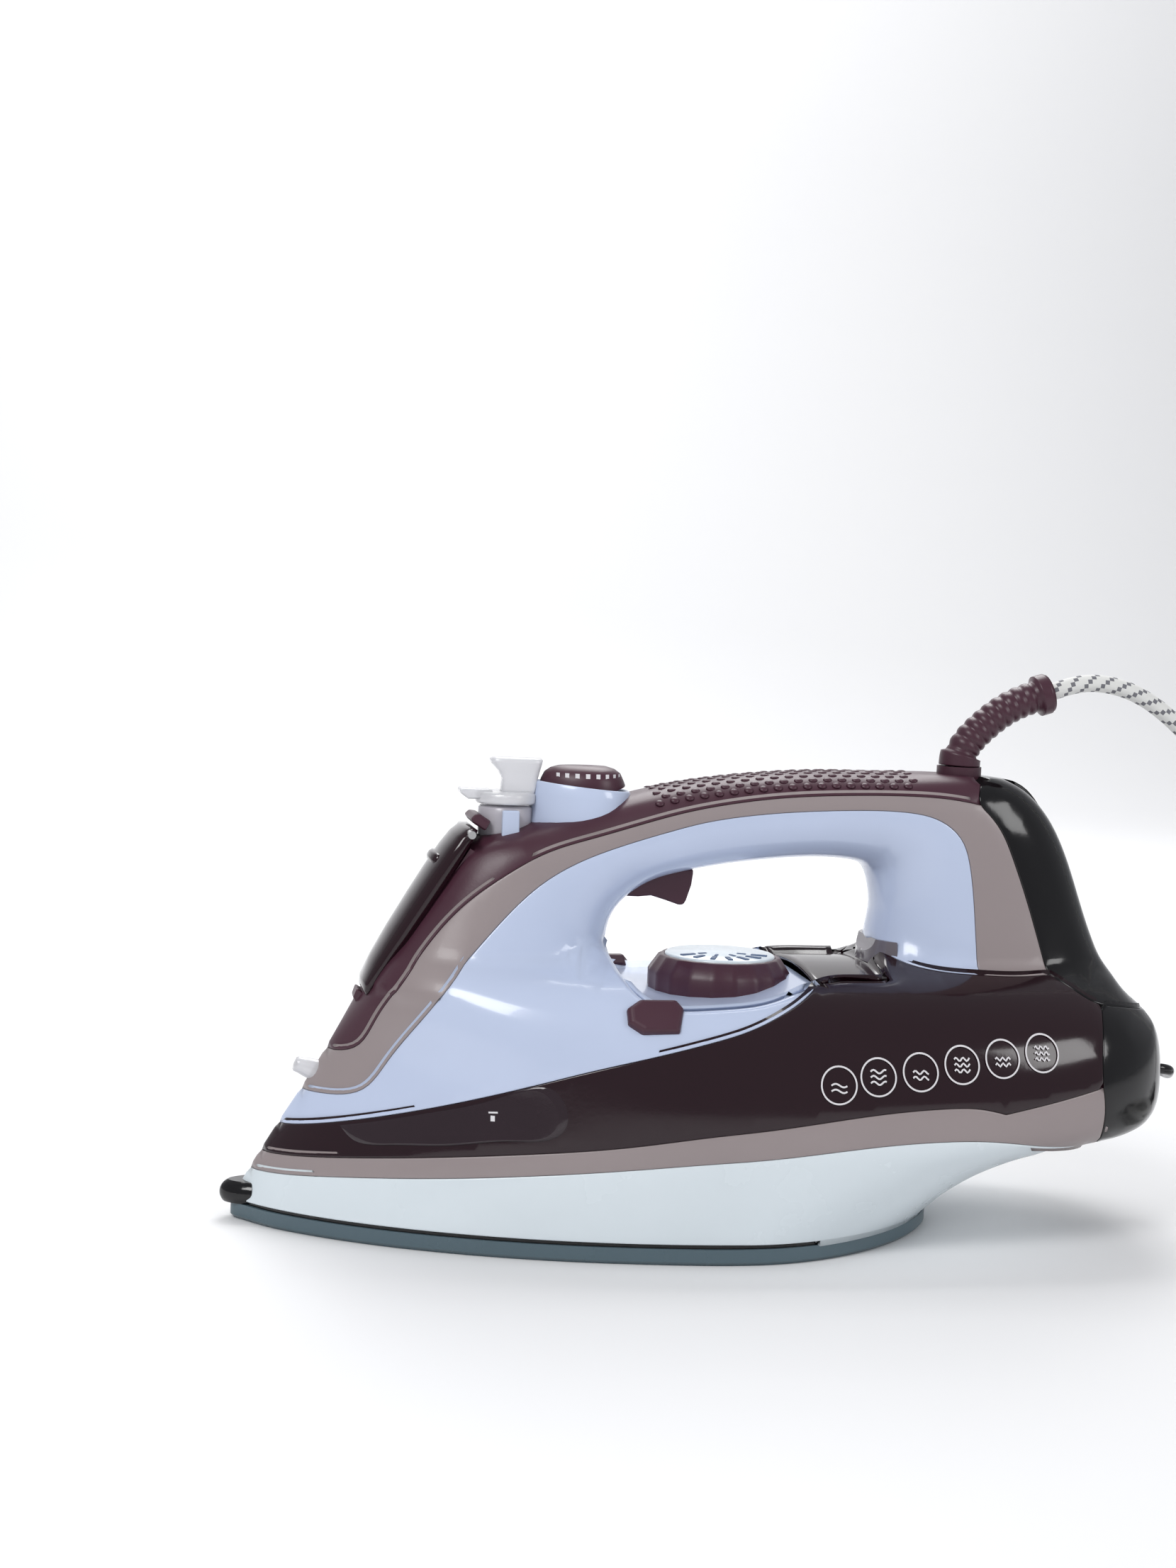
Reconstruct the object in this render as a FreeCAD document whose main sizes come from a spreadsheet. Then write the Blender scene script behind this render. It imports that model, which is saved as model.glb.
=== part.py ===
import FreeCAD, Part
import math
import os
from FreeCAD import Placement, Rotation, Vector

# A steam iron: soleplate down, nose towards -X, heel towards +X, handle up +Z.
# The origin is on the soleplate's working face, on the centre plane, below the dial's front.

os.makedirs("parts", exist_ok=True)
doc = FreeCAD.newDocument("SteamIron")
sheet = doc.addObject("Spreadsheet::Sheet", "Sizes")

SIZES = {
    # soleplate and lower body
    "nose_reach": 145.0,
    "sole_rear": 74.0,
    "sole_half": 57.0,
    "sole_widest_at": 5.0,
    "sole_thickness": 5.0,
    "sole_edge_round": 1.2,
    "shield_thickness": 1.2,
    "steam_hole_radius": 1.7,
    "belly_half": 58.0,
    "heel_low": 34.0,
    "heel_reach": 143.5,
    "heel_front": 113.0,
    "heel_shoulder": 75.0,
    "nose_lean": 0.57,
    "back_lean": 0.40,
    "deck_height": 82.0,
    "deck_half": 25.0,
    "wall": 2.4,
    "gap": 0.4,
    # handle arch
    "finger_height": 32.0,
    "finger_front": 33.0,
    "finger_rear": 51.0,
    "grip_thickness": 27.0,
    "grip_half": 17.5,
    "platform_drop": 8.5,
    # thermostat dial
    "dial_at": 4.0,
    "dial_radius": 22.5,
    "dial_top_radius": 17.4,
    "dial_height": 11.5,
    "dial_shaft_radius": 3.0,
    "dial_tunnel_radius": 4.5,
    "tongue_radius": 30.5,
    # filler
    "lid_length": 60.0,
    "lid_half": 14.0,
    "lid_crown": 5.2,
    "lid_pin_radius": 1.2,
    "neck_radius": 8.5,
    "neck_bore": 6.5,
    # steam selector
    "selector_at": 65.5,
    "selector_radius": 8.4,
    "selector_height": 14.5,
    "stem_radius": 2.0,
    # top buttons and pod
    "pod_at": 42.0,
    "pod_length": 31.0,
    "pod_half": 12.5,
    "button_length": 27.5,
    "button_half": 10.5,
    "button_height": 10.5,
    "button_travel": 2.0,
    "split": 0.6,
    "pump_radius": 5.0,
    "piston_radius": 3.6,
    "piston_thickness": 2.0,
    "spring_wire": 0.6,
    # trigger
    "trigger_half": 6.5,
    "trigger_pin_radius": 1.5,
    # side buttons
    "side_button_at": 25.0,
    "side_button_out": 45.6,
    "side_button_length": 17.0,
    "side_button_width": 11.0,
    "side_button_depth": 5.0,
    # cord
    "cord_radius": 2.75,
    "guard_radius": 5.2,
    "guard_stub_radius": 4.5,
    "bush_radius": 7.0,
    "guard_flare": 6.6,
    "coil_radius": 29.0,
    "coil_band": 8.0,
    # plug
    "plug_length": 36.0,
    "plug_radius": 13.0,
    "plug_pin_radius": 2.4,
    "plug_pin_length": 19.0,
    "plug_pin_half_pitch": 9.5,
}

for row, (name, value) in enumerate(SIZES.items(), start=1):
    sheet.set(f"A{row}", name)
    sheet.set(f"B{row}", str(value))
    sheet.setAlias(f"B{row}", name)
doc.recompute()


def size(name):
    return float(getattr(sheet, name))


NOSE, SOLE_REAR, SOLE_HALF = size("nose_reach"), size("sole_rear"), size("sole_half")
SOLE_WIDE, SOLE_TOP = size("sole_widest_at"), size("sole_thickness")
SKIRT_FOOT = SOLE_TOP + size("shield_thickness")
BELLY, HEEL_LOW, HEEL = size("belly_half"), size("heel_low"), size("heel_reach")
HEEL_FRONT, SHOULDER = size("heel_front"), size("heel_shoulder")
DECK, DECK_HALF = size("deck_height"), size("deck_half")
WALL, GAP = size("wall"), size("gap")
CEILING = DECK + size("finger_height")
TOP = CEILING + size("grip_thickness")
PLATFORM = DECK - size("platform_drop")
FRONT_EDGE, REAR_EDGE = -size("finger_front"), size("finger_rear")
GRIP_HALF = size("grip_half")
DIAL_X, DIAL_R = size("dial_at"), size("dial_radius")
DIAL_FOOT = PLATFORM - 2.5
LID_HALF = size("lid_half")
SELECTOR_X = -size("selector_at")
POD_X = -size("pod_at")
FAR = 200.0
SEAM_LEAN = (DECK - SOLE_TOP) / 77.0  # how steeply the seams climb with the body's height
DRAWN_NOSE = 145.0  # the nose reach that the seams below were drawn for


# ---------------------------------------------------------------- shape helpers
def curve(points):
    """A smooth open edge through (x, z) points on the centre plane."""
    spline = Part.BSplineCurve()
    spline.interpolate([Vector(x, 0, z) for x, z in points])
    return spline.toShape()


def closed_curve(points):
    """A smooth closed face through (x, z) points on the centre plane."""
    spline = Part.BSplineCurve()
    spline.interpolate(Points=[Vector(x, 0, z) for x, z in points], PeriodicFlag=True)
    return Part.Face(Part.Wire([spline.toShape()]))


def grown(points, margin, count=30):
    """A closed smooth outline, drawn a margin outside the one through the given points."""
    spline = Part.BSplineCurve()
    spline.interpolate(Points=[Vector(x, 0, z) for x, z in points], PeriodicFlag=True)
    first, last = spline.FirstParameter, spline.LastParameter
    outline = []
    for index in range(count):
        step = first + (last - first) * index / count
        place, heading = spline.value(step), spline.tangent(step)[0]
        outline.append((place.x + margin * heading.z, place.z - margin * heading.x))
    return outline


def across(face, half=FAR):
    """A centre-plane face swept across the iron, both ways from the centre."""
    moved = face.copy()
    moved.translate(Vector(0, -half, 0))
    return moved.extrude(Vector(0, 2 * half, 0))


def polygon(points):
    corners = [Vector(x, 0, z) for x, z in points]
    return Part.Face(Part.makePolygon(corners + corners[:1]))


def side_prism(points):
    return across(polygon(points))


def below(points, floor=-20.0, half=FAR):
    """Everything under a seam line given by (x, z) points, from its first x to its last."""
    edge = curve(points)
    (x0, z0), (x1, z1) = points[0], points[-1]
    rest = Part.makePolygon([Vector(x1, 0, z1), Vector(x1, 0, floor), Vector(x0, 0, floor), Vector(x0, 0, z0)])
    return across(Part.Face(Part.Wire([edge] + rest.Edges)), half)


def shifted(points, rise):
    return [(x, z + rise) for x, z in points]


def box(x0, x1, y0, y1, z0, z1):
    return Part.makeBox(x1 - x0, y1 - y0, z1 - z0, Vector(x0, y0, z0))


def cylinder(radius, start, end):
    axis = Vector(*end) - Vector(*start)
    return Part.makeCylinder(radius, axis.Length, Vector(*start), axis)


def rounded_slice(centre, along, side, exponent=2.7, steps=10):
    """A rounded-box outline in two halves: centre, and the two half-axis vectors."""
    halves = []
    for sign in (1, -1):
        points = []
        for index in range(steps + 1):
            angle = math.pi * index / steps
            c, s = math.cos(angle), math.sin(angle)
            u = math.copysign(abs(c) ** (2 / exponent), c)
            points.append(centre + along * u + side * (sign * abs(s) ** (2 / exponent)))
        spline = Part.BSplineCurve()
        spline.interpolate(points[::sign])
        halves.append(spline.toShape())
    return Part.Wire(halves)


def bent_wire(points):
    """Straight runs joined by the largest tangent arcs that they leave room for."""
    corners = [Vector(*point) for point in points]
    edges, radii, start = [], [], corners[0]
    for before, here, after in zip(corners, corners[1:], corners[2:]):
        back, on = before - here, after - here
        half_turn = (math.pi - back.getAngle(on)) / 2
        reach = 0.45 * min(back.Length, on.Length)
        radii.append(reach / math.tan(half_turn))
        back.normalize()
        on.normalize()
        entry, leave = here + back * reach, here + on * reach
        middle = back + on
        middle.normalize()
        centre_distance = radii[-1] / math.cos(half_turn)
        crown = here + middle * (centre_distance - radii[-1])
        edges.append(Part.LineSegment(start, entry).toShape())
        edges.append(Part.Arc(entry, crown, leave).toShape())
        start = leave
    edges.append(Part.LineSegment(start, corners[-1]).toShape())
    return Part.Wire(edges), radii


def tube(points, radius):
    """A round tube along a bent wire."""
    path, radii = bent_wire(points)
    heading = Vector(*points[1]) - Vector(*points[0])
    ring = Part.Wire([Part.Circle(Vector(*points[0]), heading, radius).toShape()])
    return path.makePipeShell([ring], True, True), path, radii


def spring(foot, radius, wire, turns, pitch):
    """A compression spring of whole turns standing on its foot point."""
    helix = Part.makeHelix(pitch, turns * pitch, radius)
    ring = Part.Wire([Part.Circle(Vector(radius, 0, 0), Vector(0, 1, 0), wire).toShape()])
    coil = Part.Wire(helix.Edges).makePipeShell([ring], True, True)
    coil.translate(Vector(*foot))
    return coil


def feature(label, shape):
    """A sub-part whose shape comes from Part's own functions."""
    item = doc.addObject("Part::Feature", label)
    item.Label = label
    solids = shape.Solids
    item.Shape = solids[0] if len(solids) == 1 else Part.makeCompound(solids)
    return item


def biggest(shape):
    return max(shape.Solids, key=lambda solid: solid.Volume)


# ---------------------------------------------------------------- the body's outer form
def nose_x(z):
    """The nose line: it leans back as it rises, and eases upright above the body."""
    knee = DECK - 20
    return -NOSE + size("nose_lean") * (min(z, knee) - SOLE_TOP) + 0.52 * max(z - knee, 0)


def back_x(z):
    """The centre-plane back: it sweeps out under the heel, then leans forward to the grip."""
    if z <= HEEL_LOW:
        part = (z - SOLE_TOP) / (HEEL_LOW - SOLE_TOP)
        return SOLE_REAR + (HEEL - SOLE_REAR) * max(part, 0) ** 3
    lower = min(z, SHOULDER) - HEEL_LOW
    return HEEL - 0.004 * lower**2 - size("back_lean") * max(z - SHOULDER, 0)


def half_width(z):
    """Half the body's width at a height, from the sole to the deck."""
    if z <= HEEL_LOW:
        return SOLE_HALF + (BELLY - SOLE_HALF) * (z - SOLE_TOP) / (HEEL_LOW - SOLE_TOP)
    part = min((z - HEEL_LOW) / (DECK - HEEL_LOW), 1.0)
    return DECK_HALF + (BELLY - DECK_HALF) * (1 - part**2.6) ** 0.62


def ring_style(z):
    """Exponents of the plan outline: nose lead, nose fullness and how square the rear is."""
    part = min(max((z - HEEL_LOW) / (DECK - HEEL_LOW), 0.0), 1.0)
    square = 1.7 + 1.4 * min(max((z - SOLE_TOP) / (HEEL_LOW - SOLE_TOP), 0.0), 1.0)
    return 2.0 + 2.0 * part**3, 1.4 + 1.8 * part**3, square + 0.9 * part


def plan_outline(nose, widest, rear, half, style, lift, steps=9):
    """The iron's plan outline: a pointed nose in front of the widest place, a rounded rear behind."""
    lead, fullness, square = style
    front, back = [], []
    for index in range(steps + 1):
        share = 1 - math.cos(math.pi / 2 * index / steps)
        front.append((nose + (widest - nose) * share, half * (1 - (1 - share) ** lead) ** (1 / fullness)))
        share = math.sin(math.pi / 2 * index / steps)
        back.append((widest + (rear - widest) * share, half * (1 - share**square) ** (1 / square)))
    near = front + back[1:]
    points = [Vector(x, y, lift) for x, y in near]
    points += [Vector(x, -y, lift) for x, y in reversed(near[1:-1])]
    spline = Part.BSplineCurve()
    spline.interpolate(Points=points, PeriodicFlag=True)
    return Part.Wire([spline.toShape()])


def body_ring(z, inset=0.0):
    """A plan outline of the body at a height, or one wall inside it."""
    low, high = z - inset, z + inset
    nose = max(nose_x(low), nose_x(high)) + 1.6 * inset
    rear = min(back_x(max(low, SOLE_TOP)), back_x(high)) - inset
    half = min(half_width(max(low, SOLE_TOP)), half_width(high)) - inset
    widest = SOLE_WIDE + 8 * (z - SOLE_TOP) / (DECK - SOLE_TOP)
    return plan_outline(nose, widest, rear, half, ring_style(z), z)


def body_form(bottom, top, inset=0.0):
    """The lower body from one height to another, in straight-sided layers."""
    shares = [0.0, 0.08, 0.16, 0.23, 0.29, 0.34, 0.38, 0.48, 0.58, 0.67, 0.75, 0.82, 0.88, 0.93, 0.97, 1.0]
    heights = [bottom + (top - bottom) * share for share in shares]
    return Part.makeLoft([body_ring(z, inset) for z in heights], True, True)


def arch_stations():
    """The handle arch as slices: outer point, inner point and half width of each."""
    knee = nose_x(DECK) + 3.5
    slope = 0.56
    return [
        (knee - 5, DECK - 9, FRONT_EDGE, DECK - 9, DECK_HALF + 4),
        (knee + 6, DECK + 10, FRONT_EDGE + 0.5, DECK + 8, DECK_HALF - 1.5),
        (knee + 14, DECK + 10 + 8 / slope, FRONT_EDGE + 4, DECK + 18, DECK_HALF - 3.5),
        (knee + 24, CEILING + 3.5, FRONT_EDGE + 13, DECK + 25, GRIP_HALF + 2.5),
        (-56, CEILING + 8, FRONT_EDGE + 25, CEILING - 3.5, GRIP_HALF + 1),
        (-30, TOP - 9.5, -2, CEILING - 2, GRIP_HALF + 0.3),
        (-5, TOP - 4.5, 10, CEILING - 0.5, GRIP_HALF),
        (30, TOP - 0.3, 30, CEILING + 1, GRIP_HALF),
        (62, TOP + 0.6, 46, CEILING + 1, GRIP_HALF + 0.5),
        (96, TOP - 0.8, REAR_EDGE, CEILING - 2.5, GRIP_HALF + 1.5),
        (back_x(TOP - 22), TOP - 22, REAR_EDGE + 1.5, CEILING - 12, GRIP_HALF + 2.5),
        (back_x(DECK + 17), DECK + 17, REAR_EDGE, DECK + 12, GRIP_HALF + 4.5),
        (back_x(DECK - 6), DECK - 6, REAR_EDGE - 2, DECK - 6, DECK_HALF),
    ]


def arch_form(inset=0.0, slices=25):
    """The arch: a smooth run of rounded slices, from the front strut's foot to the rear strut's."""
    stations = arch_stations()
    steps = [index / (len(stations) - 1) for index in range(len(stations))]
    outer_line, inner_line, half_line = Part.BSplineCurve(), Part.BSplineCurve(), Part.BSplineCurve()
    outer_line.interpolate(Points=[Vector(row[0], 0, row[1]) for row in stations], Parameters=steps)
    inner_line.interpolate(Points=[Vector(row[2], 0, row[3]) for row in stations], Parameters=steps)
    half_line.interpolate(Points=[Vector(10 * i, 0, row[4]) for i, row in enumerate(stations)], Parameters=steps)
    sections = []
    for index in range(slices):
        step = index / (slices - 1)
        outer, inner, half = outer_line.value(step), inner_line.value(step), half_line.value(step).z
        half_span = (outer - inner) * 0.5
        centre = inner + half_span
        half_span *= 1 - inset / half_span.Length
        sections.append(rounded_slice(centre, half_span, Vector(0, half - inset, 0)))
    return Part.makeLoft(sections, True, True)


def finger_hole(margin=0.0):
    """The opening between handle, struts, dial platform and deck, or one wall beyond it."""
    points = [
        (-18, PLATFORM - 0.3),
        (8, PLATFORM + 1.8),
        (27, DECK - 1.3),
        (REAR_EDGE - 9, DECK - 0.9),
        (REAR_EDGE - 2, DECK + 2.6),
        (REAR_EDGE + 1.2, CEILING - 15),
        (REAR_EDGE - 1.5, CEILING - 1.5),
        (34, CEILING + 0.6),
        (8, CEILING - 1.8),
        (-16, CEILING - 6.5),
        (FRONT_EDGE + 4, CEILING - 15),
        (FRONT_EDGE - 0.2, DECK + 6),
        (FRONT_EDGE + 1.5, PLATFORM + 4),
    ]
    if margin:
        points = grown(points, margin)
    return across(closed_curve(points))


outer_low = body_form(SKIRT_FOOT, DECK)
inner_low = body_form(SKIRT_FOOT - 1, DECK - WALL, WALL)
outer_arch = arch_form()
inner_arch = arch_form(WALL)
hole = finger_hole()
hole_wall = finger_hole(WALL)

# ---------------------------------------------------------------- seams between the shells
SKIRT_SEAM = [(-FAR, 13), (-132, 16), (-87, 21.4), (-34, 27.5), (11, 31.8), (57, 36.5), (78, 36.2), (100, 32.5), (FAR, 20)]
BAND_SEAM = [(-FAR, 17), (-127, 21.7), (-87, 27.4), (-34, 34.2), (10, 40.5), (41, 44.9), (66, 46.3), (80, 45)]
BAND_TAIL = [(80, 45), (HEEL_FRONT, 51.3), (FAR, 66)]
TANK_SEAM = [(-FAR, 20), (-131, 29.3), (-105, 36.2), (-61, 50.1), (-25, 60.5), (3, 67.7), (20, 75.5), (34, DECK + 6)]
BLUE_SEAM = [
    (-106, 44.8), (-92, 66), (-74, 88.5), (-59, 104), (-40, 114.7), (-17, 122.6), (15, 128.8),
    (45, 130.3), (62, 129.6), (73, 124.5), (77.6, 114), (79.6, 95), (80.3, DECK - 4),
]
GRIP_SEAM = [
    (-125, 52), (-110, 55.5), (-96, 78), (-78, 100.3), (-55, 115.2), (-31, 122.3), (-6, 129.6), (20, 133.6),
    (50, 135.1), (66, 134.9), (84, 132.5),
]
BLACK_SEAM = [(74, 134.2), (84, 129.6), (90, 119), (97, 102), (103, DECK), (105, 76)]


def fitted(points):
    """Seam points follow the nose reach, and the deck and grip heights, when those change."""
    placed = []
    for x, z in points:
        if -FAR < x < 0:
            x *= NOSE / DRAWN_NOSE
        if z <= 82:
            z = SOLE_TOP + (z - 5) * SEAM_LEAN
        else:
            z = DECK + (z - 82) * (TOP - DECK) / 59.0
        placed.append((x, z))
    return placed


SKIRT_SEAM, BAND_SEAM, BAND_TAIL = fitted(SKIRT_SEAM), fitted(BAND_SEAM), fitted(BAND_TAIL)
TANK_SEAM, BLUE_SEAM, GRIP_SEAM = fitted(TANK_SEAM), fitted(BLUE_SEAM), fitted(GRIP_SEAM)
BLACK_SEAM = fitted(BLACK_SEAM)

under_skirt_seam = below(SKIRT_SEAM)
under_band_seam = below(BAND_SEAM).fuse(below(BAND_TAIL)).removeSplitter()
under_tank_seam = below(TANK_SEAM)
tongue = cylinder(size("tongue_radius"), (DIAL_X, 0, DECK - 22), (DIAL_X, 0, DECK + 2))

walls_low = outer_low.cut(inner_low)
cavity = inner_low.fuse(inner_arch).cut(hole_wall)
ahead_of_heel = box(-FAR, HEEL_FRONT, -FAR, FAR, -FAR, FAR)

# ---------------------------------------------------------------- sole group
sole_body = doc.addObject("PartDesign::Body", "SoleplateBody")
origin_xy = next(o for o in sole_body.Origin.OriginFeatures if o.Role == "XY_Plane")
outline_sketch = sole_body.newObject("Sketcher::SketchObject", "SoleOutline")
outline_sketch.AttachmentSupport = (origin_xy, "")
outline_sketch.MapMode = "FlatFace"
sole_style = ring_style(SOLE_TOP)
sole_wire = plan_outline(-NOSE, SOLE_WIDE, SOLE_REAR, SOLE_HALF, sole_style, 0.0)
outline_sketch.addGeometry(sole_wire.Edges[0].Curve, False)
doc.recompute()
sole_pad = sole_body.newObject("PartDesign::Pad", "SolePad")
sole_pad.Profile = outline_sketch
sole_pad.setExpression("Length", "Sizes.sole_thickness")
doc.recompute()
sole_round = sole_body.newObject("PartDesign::Chamfer", "SoleEdge")
lowest = min(range(len(sole_pad.Shape.Edges)), key=lambda i: sole_pad.Shape.Edges[i].BoundBox.ZMax)
sole_round.Base = (sole_pad, [f"Edge{lowest + 1}"])
sole_round.setExpression("Size", "Sizes.sole_edge_round")
doc.recompute()
hole_sketch = sole_body.newObject("Sketcher::SketchObject", "SteamHoles")
hole_sketch.AttachmentSupport = (origin_xy, "")
hole_sketch.MapMode = "FlatFace"
STEAM_HOLES = 9
for row_index in range(STEAM_HOLES):
    hole_x = -NOSE + 26 + row_index * (NOSE + SOLE_REAR - 60) / (STEAM_HOLES - 1)
    reach = (hole_x + NOSE) / (NOSE + SOLE_WIDE)
    hole_y = (SOLE_HALF - 17) * (1 - (1 - min(reach, 1.0)) ** 2) ** 0.7
    for side in (-1, 1):
        hole_centre = Vector(hole_x, side * hole_y, 0)
        ring = Part.Circle(hole_centre, Vector(0, 0, 1), size("steam_hole_radius"))
        hole_sketch.addGeometry(ring, False)
doc.recompute()
before_holes = sole_round.Shape.Volume
hole_pocket = sole_body.newObject("PartDesign::Pocket", "HolePocket")
hole_pocket.Profile = hole_sketch
hole_pocket.Type = "ThroughAll"
hole_pocket.Reversed = True
doc.recompute()
assert hole_pocket.Shape.Volume < before_holes - 100, "the steam holes cut nothing"
sole_body.Label = "soleplate"
sole_body.Tip = hole_pocket


def plan_prism(inset, z0, z1, nose_back=1.6):
    """The sole's outline, drawn in by an inset, from one height to another."""
    wire = plan_outline(
        -NOSE + nose_back * inset, SOLE_WIDE, SOLE_REAR - inset, SOLE_HALF - inset, sole_style, z0
    )
    return Part.Face(wire).extrude(Vector(0, 0, z1 - z0))


CHAMBER_TOP = SOLE_TOP + 10
shield_ring = plan_prism(0.8, SOLE_TOP, SKIRT_FOOT).cut(plan_prism(9, SOLE_TOP, SKIRT_FOOT))
beak_rings = []
for drawn_in, lift in ((1.0, 0.0), (0.0, 2.0), (0.3, 4.5), (2.4, 6.5)):
    outline = (-NOSE - 3.5 + drawn_in, -NOSE + 14, -NOSE + 22, 8.5 - drawn_in)
    beak_rings.append(plan_outline(*outline, (2.0, 1.8, 2.0), SOLE_TOP + lift))
beak_solid = Part.makeLoft(beak_rings, True, False)
beak_solid = beak_solid.cut(outer_low).cut(box(-NOSE + 6, FAR, -FAR, FAR, 0, FAR))
feature("heat_shield", shield_ring.fuse(biggest(beak_solid)))

element_inset = 15.0
element_z = CHAMBER_TOP
element_points = [
    (48, -22, element_z), (20, -SOLE_HALF + element_inset + 2, element_z),
    (-28, -SOLE_HALF + element_inset + 6, element_z), (-72, -24, element_z), (-104, 0, element_z),
    (-72, 24, element_z), (-28, SOLE_HALF - element_inset - 6, element_z),
    (20, SOLE_HALF - element_inset - 2, element_z), (48, 22, element_z),
]
element = tube(element_points, 3.2)[0]
groove = tube(element_points, 3.3)[0]
chamber = plan_prism(11, SOLE_TOP, CHAMBER_TOP).cut(plan_prism(28, SOLE_TOP, SOLE_TOP + 6))
feature("steam_chamber", chamber.cut(groove))
feature("heating_element", element)
LID_PLATE = CHAMBER_TOP + 4.0
chamber_lid = plan_prism(24, CHAMBER_TOP, LID_PLATE).cut(groove)
feature("chamber_lid", biggest(chamber_lid))
feature("thermostat", box(DIAL_X - 9, DIAL_X + 9, -9, 9, LID_PLATE, LID_PLATE + 7))
feature("thermal_fuse", cylinder(3.0, (30, -8, LID_PLATE + 3.1), (48, -8, LID_PLATE + 3.1)))

# ---------------------------------------------------------------- casing shells
feature("lower_skirt", biggest(walls_low.common(under_skirt_seam).common(ahead_of_heel)))
band = walls_low.common(under_band_seam).cut(under_skirt_seam).common(ahead_of_heel)
feature("lower_band", biggest(band))

# The tank is a closed vessel between the band and the blue shell, with tunnels for shaft and valve.
tank_zone = outer_low.common(under_tank_seam.fuse(box(20, HEEL_FRONT, -FAR, FAR, 0, FAR)))
tank_zone = tank_zone.common(ahead_of_heel).cut(under_band_seam).cut(tongue).cut(hole)
TANK_FLOOR, TANK_ROOF = shifted(BAND_SEAM, WALL), shifted(TANK_SEAM, -WALL)
tail_floor = below(shifted(BAND_TAIL, WALL))
tank_inside = inner_low.cut(below(TANK_FLOOR)).cut(tail_floor).cut(hole_wall)
tank_inside = tank_inside.common(below(TANK_ROOF).fuse(box(24, HEEL_FRONT, -FAR, FAR, 0, FAR)))
tongue_wall = cylinder(size("tongue_radius") + WALL, (DIAL_X, 0, DECK - 22 - WALL), (DIAL_X, 0, DECK + 2))
tank_inside = tank_inside.cut(tongue_wall).common(box(-FAR, HEEL_FRONT - WALL, -FAR, FAR, 0, FAR))
tunnel_low = (DIAL_X, 0, 0)
tunnel_high = (DIAL_X, 0, DECK)
tunnel_wall = cylinder(size("dial_tunnel_radius") + 2, tunnel_low, tunnel_high).common(tank_zone)
tank = tank_zone.cut(tank_inside).fuse(tunnel_wall)
tank = tank.cut(cylinder(size("dial_tunnel_radius"), tunnel_low, tunnel_high))
NECK_X = -NOSE + 52.0
valve_bore = cylinder(size("stem_radius") + 1.2, (SELECTOR_X, 0, 0), (SELECTOR_X, 0, DECK))
tank = tank.cut(cylinder(size("neck_bore"), (NECK_X, 0, 33), (NECK_X, 0, DECK))).cut(valve_bore)
feature("water_tank", biggest(tank))

# Everything above the tank seam, up to the blue seam, is one pale shell with the handle's underside.
upper = outer_low.fuse(outer_arch).cut(hole)
upper_walls = upper.cut(cavity)
blue_edge = curve(BLUE_SEAM)
blue_lid = Part.makePolygon(
    [Vector(BLUE_SEAM[-1][0], 0, BLUE_SEAM[-1][1]), Vector(BLUE_SEAM[-1][0], 0, -20), Vector(-FAR, 0, -20),
     Vector(-FAR, 0, 40), Vector(-125, 0, 41), Vector(BLUE_SEAM[0][0], 0, BLUE_SEAM[0][1])]
)
under_blue_seam = across(Part.Face(Part.Wire([blue_edge] + blue_lid.Edges)))
above_tank = box(-FAR, FAR, -FAR, FAR, -20, FAR).cut(under_tank_seam)
above_tank = above_tank.cut(box(20, FAR, -FAR, FAR, -20, DECK)).fuse(tongue)
shell = upper_walls.common(under_blue_seam).common(above_tank)

grip_edge = curve(GRIP_SEAM)
(grip_x0, grip_z0), (grip_x1, grip_z1) = GRIP_SEAM[0], GRIP_SEAM[-1]
over_grip = Part.makePolygon(
    [Vector(grip_x1, 0, grip_z1), Vector(grip_x1 + 6, 0, FAR), Vector(-FAR, 0, FAR), Vector(-FAR, 0, grip_z0),
     Vector(grip_x0, 0, grip_z0)]
)
grip_zone = across(Part.Face(Part.Wire([grip_edge] + over_grip.Edges)))
black_edge = curve(BLACK_SEAM)
(black_x0, black_z0), (black_x1, black_z1) = BLACK_SEAM[0], BLACK_SEAM[-1]
behind_black = Part.makePolygon(
    [Vector(black_x1, 0, black_z1), Vector(FAR, 0, black_z1), Vector(FAR, 0, FAR), Vector(black_x0, 0, FAR),
     Vector(black_x0, 0, black_z0)]
)
black_zone = across(Part.Face(Part.Wire([black_edge] + behind_black.Edges)))
black_zone = black_zone.cut(box(80, HEEL_FRONT, -FAR, FAR, 0, DECK))
grip_zone = grip_zone.cut(black_zone)
trim_zone = box(-FAR, FAR, -FAR, FAR, -20, FAR).cut(under_blue_seam).cut(grip_zone).cut(black_zone)
trim_zone = trim_zone.cut(box(0, FAR, -FAR, FAR, -20, DECK))
trim = upper_walls.common(trim_zone)
grip = upper_walls.common(grip_zone)
rear = upper_walls.common(black_zone).cut(box(HEEL_FRONT - 1, FAR, -FAR, FAR, 0, SHOULDER))

heel_zone = box(HEEL_FRONT, FAR, -FAR, FAR, 0, SHOULDER)
heel = biggest(walls_low.common(heel_zone))

# ---------------------------------------------------------------- filler, lid and nozzle
LID_SET_BACK = 1.85  # how far the lid's foot lies behind the nose line
LID_LEVEL = DECK - 12.0
LID_FOOT = Vector(nose_x(LID_LEVEL) + LID_SET_BACK, 0, LID_LEVEL)
LID_SLOPE = Vector(0.515, 0, 0.857)
LID_OUT = Vector(-0.857, 0, 0.515)


def on_slope(out, side, along):
    """A point in the lid's own frame: out of the nose slope, to the side, and up the slope."""
    return LID_FOOT + LID_OUT * out + Vector(0, side, 0) + LID_SLOPE * along


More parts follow.
